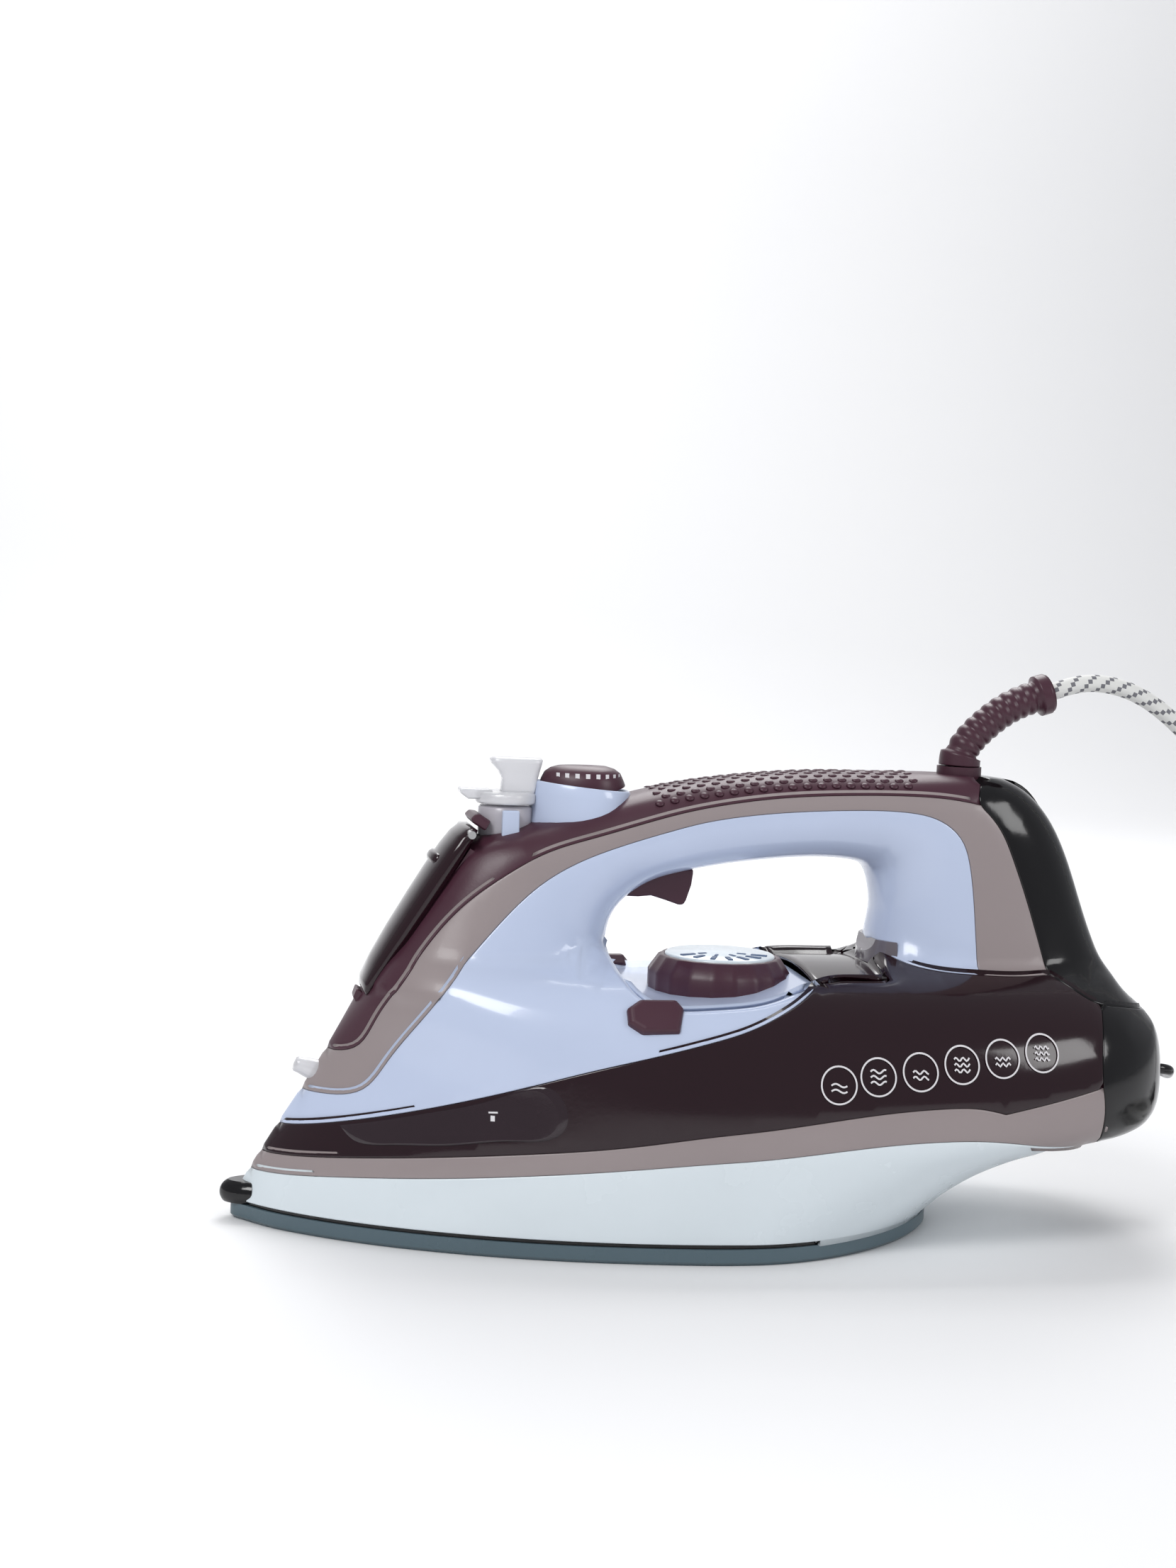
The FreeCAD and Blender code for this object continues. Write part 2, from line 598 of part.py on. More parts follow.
def lid_slice(along, half, crown, depth):
    """A domed slice of the lid, flat underneath."""
    left, right = on_slope(0, -half, along), on_slope(0, half, along)
    low_left, low_right = on_slope(-depth, -half, along), on_slope(-depth, half, along)
    dome = Part.Arc(left, on_slope(crown, 0, along), right).toShape()
    return Part.Wire([dome] + Part.makePolygon([right, low_right, low_left, left]).Edges)


LID_LENGTH, CROWN = size("lid_length"), size("lid_crown")
LID_DEPTH = 1.2
PIN_R = size("lid_pin_radius")
hinge_at = on_slope(0.6, 0, LID_LENGTH - 2.2)
lid_slices = [
    lid_slice(0, LID_HALF - 3, CROWN - 1.5, LID_DEPTH), lid_slice(LID_LENGTH * 0.3, LID_HALF - 1, CROWN, LID_DEPTH),
    lid_slice(LID_LENGTH * 0.65, LID_HALF, CROWN, LID_DEPTH),
    lid_slice(LID_LENGTH - 1.5, LID_HALF - 1, CROWN - 1.5, LID_DEPTH),
]
lid = Part.makeLoft(lid_slices, True, False)
pin_half = LID_HALF + 2.0
pin_bore = cylinder(PIN_R + 0.05, (hinge_at.x, -FAR, hinge_at.z), (hinge_at.x, FAR, hinge_at.z))
recess_corners = [
    on_slope(CROWN + 12, 0, -1.5), on_slope(-LID_DEPTH - GAP, 0, -GAP - 3.5), on_slope(-LID_DEPTH - GAP, 0, LID_LENGTH + GAP),
    on_slope(CROWN + 12, 0, LID_LENGTH + GAP),
]
recess = across(Part.Face(Part.makePolygon(recess_corners + recess_corners[:1])), LID_HALF + GAP)
feature("filler_lid", biggest(lid.cut(pin_bore)))
pin_start, pin_end = (hinge_at.x, -pin_half, hinge_at.z), (hinge_at.x, pin_half, hinge_at.z)
feature("lid_pin", cylinder(PIN_R, pin_start, pin_end))

seat_outer = [
    on_slope(-LID_DEPTH - GAP - 0.1, 0, 0), on_slope(-LID_DEPTH - GAP - 2.1, 0, 0),
    on_slope(-LID_DEPTH - GAP - 2.1, 0, LID_LENGTH - 6), on_slope(-LID_DEPTH - GAP - 0.1, 0, LID_LENGTH - 6),
]
seat = across(Part.Face(Part.makePolygon(seat_outer + seat_outer[:1])), LID_HALF - 2)
mouth = cylinder(size("neck_bore"), (NECK_X, 0, 0), (NECK_X, 0, FAR))
neck_post = cylinder(size("neck_radius"), (NECK_X, 0, 0), (NECK_X, 0, FAR))
NECK_FOOT = DECK - 40.0
seat_level = seat.cut(mouth)
seat_room = [on_slope(0, 0, -0.5), *seat_outer[1:3], on_slope(0, 0, LID_LENGTH - 6)]
seat_clear = across(Part.Face(Part.makePolygon(seat_room + seat_room[:1])), LID_HALF)
feature("filler_seat", biggest(seat_level))
above_seat = Part.makePolygon([on_slope(-LID_DEPTH - GAP - 2.1, 0, -60), on_slope(-LID_DEPTH - GAP - 2.1, 0, 90),
                               on_slope(60, 0, 90), on_slope(60, 0, -60), on_slope(-LID_DEPTH - GAP - 2.1, 0, -60)])
neck = neck_post.cut(mouth).cut(across(Part.Face(above_seat))).cut(tank_zone).cut(under_tank_seam)
feature("filler_neck", biggest(neck))

opened_grip = grip.cut(recess).cut(seat_clear).cut(pin_bore)
opened_trim = trim.cut(recess).cut(pin_bore)

nozzle_z = 46.0
nozzle_x = nose_x(nozzle_z)
nozzle = cylinder(2.6, (nozzle_x - 3.0, 0, nozzle_z + 0.5), (nozzle_x + 9, 0, nozzle_z - 1.5))
nozzle_bore = cylinder(0.8, (nozzle_x - 4.0, 0, nozzle_z + 0.6), (nozzle_x + 9, 0, nozzle_z - 1.5))
feature("spray_nozzle", nozzle.cut(nozzle_bore))
opened_trim = opened_trim.cut(nozzle)

# ---------------------------------------------------------------- steam selector
SEL_R, STEM_R = size("selector_radius"), size("stem_radius")
SEL_FOOT = TOP - 13.0
selector_base = cylinder(SEL_R, (SELECTOR_X, 0, CEILING - 1), (SELECTOR_X, 0, SEL_FOOT))
selector_base = selector_base.cut(cylinder(STEM_R + 0.05, (SELECTOR_X, 0, 0), (SELECTOR_X, 0, FAR)))
feature("selector_base", selector_base)
base_seat = cylinder(SEL_R, (SELECTOR_X, 0, CEILING - 1), (SELECTOR_X, 0, FAR))
index_tab = box(SELECTOR_X - 3, SELECTOR_X + 3, -SEL_R - 2.0, -SEL_R + 2, SEL_FOOT - 8, SEL_FOOT - 0.6)
feature("selector_index", index_tab.cut(base_seat).cut(outer_arch))
SEL_TOP = SEL_FOOT + GAP + size("selector_height")
knob_disc = cylinder(SEL_R + 1, (SELECTOR_X, 0, SEL_FOOT + GAP), (SELECTOR_X, 0, SEL_FOOT + GAP + 3.6))
lip = side_prism([(SELECTOR_X - 14.5, SEL_FOOT + GAP + 4), (SELECTOR_X - 12, SEL_FOOT + GAP + 1.2),
                  (SELECTOR_X - 4, SEL_FOOT + GAP + 1.2), (SELECTOR_X - 4, SEL_FOOT + GAP + 4)])
lip = lip.common(box(-FAR, FAR, -4.5, 4.5, 0, FAR))
fin = side_prism([(SELECTOR_X - 1.5, SEL_FOOT + GAP + 3), (SELECTOR_X - 1.8, SEL_TOP - 6), (SELECTOR_X - 5.5, SEL_TOP - 1),
                  (SELECTOR_X - 5.2, SEL_TOP), (SELECTOR_X + 10, SEL_TOP), (SELECTOR_X + 9.4, SEL_TOP - 6),
                  (SELECTOR_X + 7.6, SEL_FOOT + GAP + 3)])
fin = fin.common(box(-FAR, FAR, -4.5, 4.5, 0, FAR))
feature("steam_selector", knob_disc.fuse(lip).fuse(fin).removeSplitter())
VALVE_TOP = LID_PLATE + 6.0
feature("valve_stem", cylinder(STEM_R, (SELECTOR_X, 0, VALVE_TOP), (SELECTOR_X, 0, SEL_FOOT + GAP)))
feature("drip_valve", cylinder(STEM_R + 1.0, (SELECTOR_X, 0, LID_PLATE), (SELECTOR_X, 0, VALVE_TOP - 0.2)))

# ---------------------------------------------------------------- pod, top buttons, pumps
POD_HALF, POD_LONG = size("pod_half"), size("pod_length") / 2
BUTTON_HALF, BUTTON_LONG = size("button_half"), size("button_length") / 2
POD_FLOOR, POD_TOP = TOP - 13.5, TOP - 10.0


def leaf(lift, long, half):
    """A leaf outline: pointed to the front, round to the rear."""
    wire = plan_outline(POD_X - long, POD_X + long * 0.25, POD_X + long, half, (2.0, 1.7, 2.0), lift)
    return wire


pod_low = leaf(CEILING + 4, POD_LONG + 1, POD_HALF + 0.5)
pod_mid = leaf(POD_FLOOR, POD_LONG, POD_HALF)
pod_high = leaf(POD_TOP, POD_LONG - 0.8, POD_HALF - 0.8)
pod = Part.makeLoft([pod_low, pod_mid, pod_high], True, False)
pod_clear = Part.Face(leaf(CEILING + 2, POD_LONG + 1.2, POD_HALF + 0.7)).extrude(Vector(0, 0, 40))
well = Part.Face(leaf(POD_FLOOR, BUTTON_LONG + GAP, BUTTON_HALF + GAP)).extrude(Vector(0, 0, 20))
pod = pod.cut(well).common(box(-FAR, FAR, -FAR, FAR, CEILING + 5, FAR))
BUTTON_FOOT = POD_FLOOR + size("button_travel") + 0.6
button_rings = [
    leaf(BUTTON_FOOT, BUTTON_LONG, BUTTON_HALF), leaf(BUTTON_FOOT + 3, BUTTON_LONG, BUTTON_HALF),
    leaf(BUTTON_FOOT + 7.5, BUTTON_LONG * 0.92, BUTTON_HALF * 0.88),
    leaf(BUTTON_FOOT + size("button_height"), BUTTON_LONG * 0.6, BUTTON_HALF * 0.5),
]
both_buttons = Part.makeLoft(button_rings, True, False)
PUMP_TOP = CEILING + 1.0
PUMP_FOOT = DECK + 4.0
BUTTON_Y = 6.2
PISTON_R, WIRE, RUNNING_FIT, PUMP_TURNS = size("piston_radius"), size("spring_wire"), 0.05, 4
PISTON_FOOT, PUMP_FLOOR = PUMP_TOP - 14.0, PUMP_FOOT + 2.0
PISTON_TOP = PISTON_FOOT + size("piston_thickness")
pump_pitch = (PISTON_FOOT - PUMP_FLOOR - 2 * WIRE - 0.3) / PUMP_TURNS
holes = []
for label, side in (("spray", -1), ("burst", 1)):
    near = box(-FAR, FAR, size("split") / 2, FAR, 0, FAR)
    if side < 0:
        near = near.mirror(Vector(0, 0, 0), Vector(0, 1, 0))
    stem_x, stem_y = POD_X - 0.5, side * BUTTON_Y
    stem = cylinder(STEM_R, (stem_x, stem_y, PISTON_FOOT), (stem_x, stem_y, BUTTON_FOOT + 0.5))
    piston = cylinder(PISTON_R, (stem_x, stem_y, PISTON_FOOT), (stem_x, stem_y, PISTON_TOP))
    button = both_buttons.common(near).fuse([stem, piston]).removeSplitter()
    feature(f"{label}_button", button)
    barrel = cylinder(size("pump_radius"), (stem_x, stem_y, PUMP_FOOT), (stem_x, stem_y, PUMP_TOP))
    neck_bore = cylinder(STEM_R + RUNNING_FIT, (stem_x, stem_y, PISTON_TOP), (stem_x, stem_y, FAR))
    piston_bore = cylinder(PISTON_R + RUNNING_FIT, (stem_x, stem_y, PUMP_FLOOR), (stem_x, stem_y, PISTON_TOP + GAP))
    feature(f"{label}_pump", barrel.cut(neck_bore).cut(piston_bore))
    spring_foot = (stem_x, stem_y, PUMP_FLOOR + WIRE + 0.1)
    feature(f"{label}_spring", spring(spring_foot, PISTON_R - WIRE - 0.3, WIRE, PUMP_TURNS, pump_pitch))
    holes.append(cylinder(STEM_R + 0.5, (stem_x, stem_y, PUMP_TOP), (stem_x, stem_y, FAR)))
    holes.append(cylinder(size("pump_radius") + 0.3, (stem_x, stem_y, PUMP_FOOT), (stem_x, stem_y, PUMP_TOP)))
stem_holes = holes[0].fuse(holes[1:])
knob_clear = cylinder(SEL_R + 1 + 2 * GAP, (SELECTOR_X, 0, SEL_FOOT), (SELECTOR_X, 0, FAR))
feature("button_pod", biggest(pod.cut(stem_holes).cut(base_seat).cut(knob_clear)))
opened_grip = opened_grip.cut(base_seat).cut(pod_clear).cut(stem_holes)
opened_grip = opened_grip.cut(cylinder(STEM_R + 0.5, (SELECTOR_X, 0, 0), (SELECTOR_X, 0, FAR)))

# ---------------------------------------------------------------- trigger
TRIGGER_HALF, TPIN_R = size("trigger_half"), size("trigger_pin_radius")
TPIN_X, TPIN_Z = FRONT_EDGE + 7.0, CEILING - 7.5
trigger = side_prism([
    (FRONT_EDGE + 3.5, CEILING - 12.5), (FRONT_EDGE + 13, CEILING - 12), (FRONT_EDGE + 22, CEILING - 15),
    (FRONT_EDGE + 24, CEILING - 14.3), (FRONT_EDGE + 26.5, CEILING - 8), (FRONT_EDGE + 26.5, CEILING - 4),
    (FRONT_EDGE + 7, CEILING - 4.5), (FRONT_EDGE + 4, CEILING - 7),
])
trigger = trigger.common(box(-FAR, FAR, -TRIGGER_HALF, TRIGGER_HALF, 0, FAR))
trigger_bore = cylinder(TPIN_R + 0.05, (TPIN_X, -FAR, TPIN_Z), (TPIN_X, FAR, TPIN_Z))
feature("steam_trigger", trigger.cut(trigger_bore))
tpin_half = TRIGGER_HALF + 4.0
feature("trigger_pin", cylinder(TPIN_R, (TPIN_X, -tpin_half, TPIN_Z), (TPIN_X, tpin_half, TPIN_Z)))
window = box(FRONT_EDGE + 1.5, FRONT_EDGE + 28.5, -TRIGGER_HALF - GAP, TRIGGER_HALF + GAP, CEILING - 20, CEILING + 4)
pin_hole = cylinder(TPIN_R, (TPIN_X, -tpin_half, TPIN_Z), (TPIN_X, tpin_half, TPIN_Z))
feature("trigger_spring", spring((FRONT_EDGE + 20, 0, CEILING - 4.0 + WIRE + 0.1), 3.0, WIRE, 2, 1.9))

# ---------------------------------------------------------------- thermostat dial
dial_body = doc.addObject("PartDesign::Body", "DialBody")
dial_sketch = dial_body.newObject("Sketcher::SketchObject", "DialProfile")
dial_sketch.AttachmentSupport = (next(o for o in dial_body.Origin.OriginFeatures if o.Role == "XZ_Plane"), "")
dial_sketch.MapMode = "FlatFace"
DIAL_TOP_R, DIAL_HIGH = size("dial_top_radius"), size("dial_height")
profile = [(0, 0), (DIAL_R, 0), (DIAL_R, DIAL_HIGH - 5), (DIAL_TOP_R + 1.2, DIAL_HIGH), (DIAL_TOP_R, DIAL_HIGH),
           (DIAL_TOP_R, DIAL_HIGH - 1), (0, DIAL_HIGH - 1)]
for (ax, ay), (bx, by) in zip(profile, profile[1:] + profile[:1]):
    dial_sketch.addGeometry(Part.LineSegment(Vector(ax, ay, 0), Vector(bx, by, 0)), False)
doc.recompute()
dial_turn = dial_body.newObject("PartDesign::Revolution", "DialTurn")
dial_turn.Profile = dial_sketch
dial_turn.ReferenceAxis = (dial_sketch, ["V_Axis"])
dial_turn.Angle = 360
doc.recompute()
dial_body.Label = "dial"
dial_body.Placement = Placement(Vector(DIAL_X, 0, DIAL_FOOT), Rotation())


def primitive(label, radius, height, foot):
    """A Part cylinder bound to the sheet, standing on its foot."""
    item = doc.addObject("Part::Cylinder", label)
    item.Label = label
    item.setExpression("Radius", radius)
    item.setExpression("Height", height)
    item.Placement = Placement(Vector(*foot), Rotation())
    return item


primitive("dial_disc", "Sizes.dial_top_radius - 0.3", "1.2", (DIAL_X, 0, DIAL_FOOT + DIAL_HIGH - 1))
shaft_foot = LID_PLATE + 7.3
shaft = primitive("dial_shaft", "Sizes.dial_shaft_radius", "10", (DIAL_X, 0, shaft_foot))
shaft.setExpression("Height", f"{DIAL_FOOT - shaft_foot}")
dial_recess = cylinder(DIAL_R + GAP, (DIAL_X, 0, DIAL_FOOT - GAP), (DIAL_X, 0, DECK + 3))
dial_floor = cylinder(DIAL_R + GAP + WALL, (DIAL_X, 0, DIAL_FOOT - GAP - WALL), (DIAL_X, 0, PLATFORM + 1))
dial_floor = dial_floor.common(outer_low).cut(hole).cut(under_tank_seam)
shaft_hole = cylinder(size("dial_shaft_radius") + 0.06, (DIAL_X, 0, 0), (DIAL_X, 0, DECK))

# ---------------------------------------------------------------- side buttons
SB_X, SB_Y = -size("side_button_at"), size("side_button_out")
SB_LONG, SB_WIDE, SB_DEEP = size("side_button_length"), size("side_button_width"), size("side_button_depth")
SB_Z = PLATFORM - 2.6
PRESS = Vector(0, 0.75, -0.6614)
side_holes = []


def hexagon(margin, depth, rise):
    """A six-sided pad, long along X, grown by a margin."""
    half, wide = SB_LONG / 2 + margin, SB_WIDE / 2 + margin
    corners = [(-half, -wide + 3), (-half, wide - 3), (-half + 4, wide), (half - 2, wide), (half, wide - 3),
               (half - 2, -wide), (-half + 4, -wide)]
    points = [Vector(x, y, rise) for x, y in corners]
    return Part.Face(Part.makePolygon(points + points[:1])).extrude(Vector(0, 0, -depth))


for label, side in (("near", -1), ("far", 1)):
    tilt = Rotation(Vector(1, 0, 0), math.degrees(math.atan2(PRESS.y, -PRESS.z)))
    where = Placement(Vector(SB_X, -SB_Y, SB_Z), tilt)
    button, socket = hexagon(0, SB_DEEP, 1.8), hexagon(GAP, SB_DEEP + 15, 12)
    button.Placement = where
    socket.Placement = where
    if side > 0:
        button = button.mirror(Vector(0, 0, 0), Vector(0, 1, 0))
        socket = socket.mirror(Vector(0, 0, 0), Vector(0, 1, 0))
    feature(f"{label}_side_button", button)
    side_holes.append(socket)

# ---------------------------------------------------------------- pale shell, finished
socket_cut = side_holes[0].fuse(side_holes[1])
shell = shell.fuse(dial_floor).cut(dial_recess).cut(shaft_hole).cut(socket_cut).cut(window).cut(pin_hole)
lens_zone = box(REAR_EDGE - 6, REAR_EDGE + 5.5, -FAR, FAR, DECK, DECK + 7.5)
lens = upper_walls.common(lens_zone)
shell = shell.cut(lens_zone)
feature("main_shell", biggest(shell))
feature("pilot_lens", biggest(lens))
lamp_at = (REAR_EDGE + 5.5, 0, DECK + 4)
feature("pilot_lamp", cylinder(2.0, lamp_at, (lamp_at[0] + 9, 0, DECK + 4)))
feature("upper_trim", biggest(opened_trim))

# ---------------------------------------------------------------- heel, clip and terminals
CLIP_Z = 46.0
clip_x = back_x(CLIP_Z) - 1.2
clip_route = [(clip_x, -11, CLIP_Z + 4), (clip_x + 9, -12, CLIP_Z + 3.5), (clip_x + 14, 0, CLIP_Z - 1),
              (clip_x + 9, 12, CLIP_Z + 3.5), (clip_x, 11, CLIP_Z + 4)]
clip = tube(clip_route, 1.7)[0]
feature("cord_clip", biggest(clip.cut(outer_low)))
feature("heel_stand", heel)
feature("terminal_block", box(HEEL_FRONT + 1, HEEL_FRONT + 15, -14, 14, 44, 56))

# ---------------------------------------------------------------- cord guard
GUARD_X, GUARD_Z = 79.0, TOP + 3.0
GUARD_R = size("guard_radius")
BUSH_R, STUB_R = size("bush_radius"), size("guard_stub_radius")
guard_route = [(GUARD_X, 0, GUARD_Z + 1.5), (GUARD_X + 0.8, 0, GUARD_Z + 7.0), (GUARD_X + 13.0, 0, GUARD_Z + 16.8),
               (GUARD_X + 28.5, 0, GUARD_Z + 24.2)]
guard_tube = tube(guard_route, GUARD_R)[0]
guard_collar = cylinder(BUSH_R - 0.6, (GUARD_X, 0, GUARD_Z + 0.3), (GUARD_X, 0, GUARD_Z + 3.5))
guard_stub = cylinder(STUB_R, (GUARD_X, 0, GUARD_Z - 10), (GUARD_X, 0, GUARD_Z + 3))
end = Vector(*guard_route[-1])
heading = end - Vector(*guard_route[-2])
heading.normalize()
flare = cylinder(size("guard_flare"), tuple(end - heading * 4), tuple(end))
guard_bore = cylinder(size("cord_radius") + GAP, tuple(end - heading * 9), tuple(end + heading))
guard = guard_stub.fuse(guard_collar).fuse(guard_tube).fuse(flare).cut(guard_bore)
feature("cord_guard", biggest(guard))
bush = cylinder(BUSH_R, (GUARD_X, 0, TOP - 9), (GUARD_X, 0, GUARD_Z)).cut(
    cylinder(STUB_R + 0.05, (GUARD_X, 0, 0), (GUARD_X, 0, FAR)))
feature("guard_bush", bush)
bush_seat = cylinder(BUSH_R, (GUARD_X, 0, TOP - 20), (GUARD_X, 0, FAR))
feature("grip_cover", biggest(opened_grip.cut(bush_seat)))
feature("rear_cover", biggest(rear.cut(bush_seat)))

# ---------------------------------------------------------------- cord, coil and plug
CORD_R = size("cord_radius")
start = end - heading * 6.0
CORD_ROUTE = [
    tuple(start), (end.x + 5.9, 0, end.z + 2.8), (end.x + 18.8, 0, end.z + 4.1), (end.x + 33.5, 0, end.z - 0.4),
    (end.x + 51, 1, end.z - 13.7), (end.x + 69, 3, end.z - 35.2), (end.x + 81, 6, end.z - 56.7),
    (end.x + 90, 9.5, end.z - 80.7), (end.x + 100, 13.5, end.z - 104.7), (end.x + 113, 15.5, end.z - 127.7),
    (end.x + 129, 11, end.z - 147.7), (end.x + 141, -4, end.z - 159.7), (end.x + 143, -23, CORD_R + 0.3),
]
cord, cord_path, cord_radii = tube(CORD_ROUTE, CORD_R)
print("cord arcs", [round(r, 1) for r in cord_radii], "length", round(cord_path.Length, 1))
print("cord volume", round(cord.Volume), "section x length", round(math.pi * CORD_R**2 * cord_path.Length))
feature("cord_lead", cord)
COIL_X, COIL_Y = end.x + 143 - size("coil_radius") - 4.5, -24.0
COIL_MID, COIL_BAND = size("coil_radius"), size("coil_band")
coil_outer = Part.makeTorus(COIL_MID, COIL_BAND, Vector(COIL_X, COIL_Y, COIL_BAND), Vector(0, 0, 1))
feature("cord_coil", coil_outer)

# The coil's tail runs to the plug, which lies behind the coil on the same surface.
PLUG_Y = COIL_Y + COIL_MID + COIL_BAND + 17.0
PLUG_X = COIL_X + 10.0
TAIL_X = COIL_X - COIL_MID
TAIL_ROUTE = [
    (TAIL_X - 2.5, COIL_Y + 2, 9.5), (TAIL_X - 2.2, COIL_Y + 18, 8.0), (TAIL_X + 3, COIL_Y + 34, 7.5),
    (TAIL_X + 14, COIL_Y + 46, 8.8), (TAIL_X + 28, COIL_Y + 52.5, 11.0), (PLUG_X + 1, PLUG_Y, size("plug_radius")),
]
tail, tail_path, tail_radii = tube(TAIL_ROUTE, CORD_R)
print("tail arcs", [round(r, 1) for r in tail_radii], "length", round(tail_path.Length, 1))
feature("cord_tail", tail)
TIE_HALF, TIE_WALL = 5.0, 1.1
tie_level = (COIL_Y - COIL_MID, COIL_BAND + TIE_WALL)
tie = cylinder(COIL_BAND + TIE_WALL, (COIL_X - TIE_HALF, *tie_level), (COIL_X + TIE_HALF, *tie_level))
feature("coil_tie", biggest(tie.cut(coil_outer).common(box(-FAR, 2 * FAR, -FAR, FAR, 0, FAR))))
PLUG_R, PLUG_LONG = size("plug_radius"), size("plug_length")
plug_end = PLUG_X + PLUG_LONG
plug_round = cylinder(PLUG_R, (PLUG_X + PLUG_LONG - 16, PLUG_Y, PLUG_R), (plug_end, PLUG_Y, PLUG_R))
plug_neck = Part.makeCone(5.5, PLUG_R, PLUG_LONG - 16, Vector(PLUG_X, PLUG_Y, PLUG_R), Vector(1, 0, 0))
plug_flats = box(PLUG_X - 1, plug_end + 1, PLUG_Y - PLUG_R * 1.0, PLUG_Y + PLUG_R * 1.0, 0, 2 * PLUG_R)
feature("plug_body", plug_round.fuse(plug_neck).removeSplitter().common(plug_flats))
pins = []
for side in (-1, 1):
    pin_y = PLUG_Y + side * size("plug_pin_half_pitch")
    pin_tip = plug_end + size("plug_pin_length")
    pins.append(cylinder(size("plug_pin_radius"), (plug_end, pin_y, PLUG_R), (pin_tip, pin_y, PLUG_R)))
feature("plug_pins", Part.makeCompound(pins))

# ---------------------------------------------------------------- inner cable
inner_cable = tube(
    [(GUARD_X, 0, TOP - 10), (GUARD_X + 3, 0, DECK + 36), (GUARD_X + 21, 0, DECK + 14), (HEEL_FRONT + 7, 0, DECK + 1),
     (HEEL_FRONT + 7, 0, 57)], 2.5)[0]
feature("inner_cable", inner_cable)

# ---------------------------------------------------------------- check and write
doc.recompute()
for item in doc.Objects:
    for state in item.State:
        if state in ("Invalid", "Error"):
            raise RuntimeError(f"{item.Name} is {state}")
nodes = [item for item in doc.Objects if item.TypeId in ("Part::Feature", "Part::Cylinder", "PartDesign::Body")]
for item in nodes:
    if item.Shape.isNull() or not item.Shape.isValid():
        raise RuntimeError(f"{item.Label} has no valid shape")
    item.Shape.exportStep(f"parts/{item.Label}.step")
print(len(nodes), "nodes written")
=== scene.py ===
"""A steam iron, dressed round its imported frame: shells, controls, lead and a plain studio."""

from __future__ import annotations

import logging
import math
from dataclasses import dataclass
from enum import Enum

import bmesh
import bpy
import numpy as np
from mathutils import Matrix, Vector
from mathutils.geometry import delaunay_2d_cdt


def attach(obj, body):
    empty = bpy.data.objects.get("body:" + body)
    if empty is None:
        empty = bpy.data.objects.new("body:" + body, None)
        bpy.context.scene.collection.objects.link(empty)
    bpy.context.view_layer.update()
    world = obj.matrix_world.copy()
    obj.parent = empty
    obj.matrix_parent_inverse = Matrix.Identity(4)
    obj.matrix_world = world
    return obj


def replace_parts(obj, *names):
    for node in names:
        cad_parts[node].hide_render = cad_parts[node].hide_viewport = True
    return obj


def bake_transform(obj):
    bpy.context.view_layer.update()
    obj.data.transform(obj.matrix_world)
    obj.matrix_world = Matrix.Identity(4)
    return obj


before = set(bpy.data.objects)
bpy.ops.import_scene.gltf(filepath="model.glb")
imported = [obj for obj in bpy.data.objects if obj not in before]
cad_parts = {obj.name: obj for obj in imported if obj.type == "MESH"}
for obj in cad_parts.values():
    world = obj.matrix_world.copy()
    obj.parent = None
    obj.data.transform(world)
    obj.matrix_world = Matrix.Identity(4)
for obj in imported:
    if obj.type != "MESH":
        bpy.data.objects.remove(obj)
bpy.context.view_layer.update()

LOG = logging.getLogger("steam_iron")
MM = 0.001
Point2 = tuple[float, float]
Point3 = tuple[float, float, float]


class Edge(Enum):
    """How a shell's border is finished."""

    SEAM = "a fine rounded seam"
    RIM = "a broad rounded rim"
    CENTRE = "a rounded crest that meets its mirror image on the centre plane"


class Coat(Enum):
    """The broad families of finish."""

    MOULDED = "moulded plastic"
    CLEAR = "clear plastic"
    METAL = "metal"
    WOVEN = "woven braid"


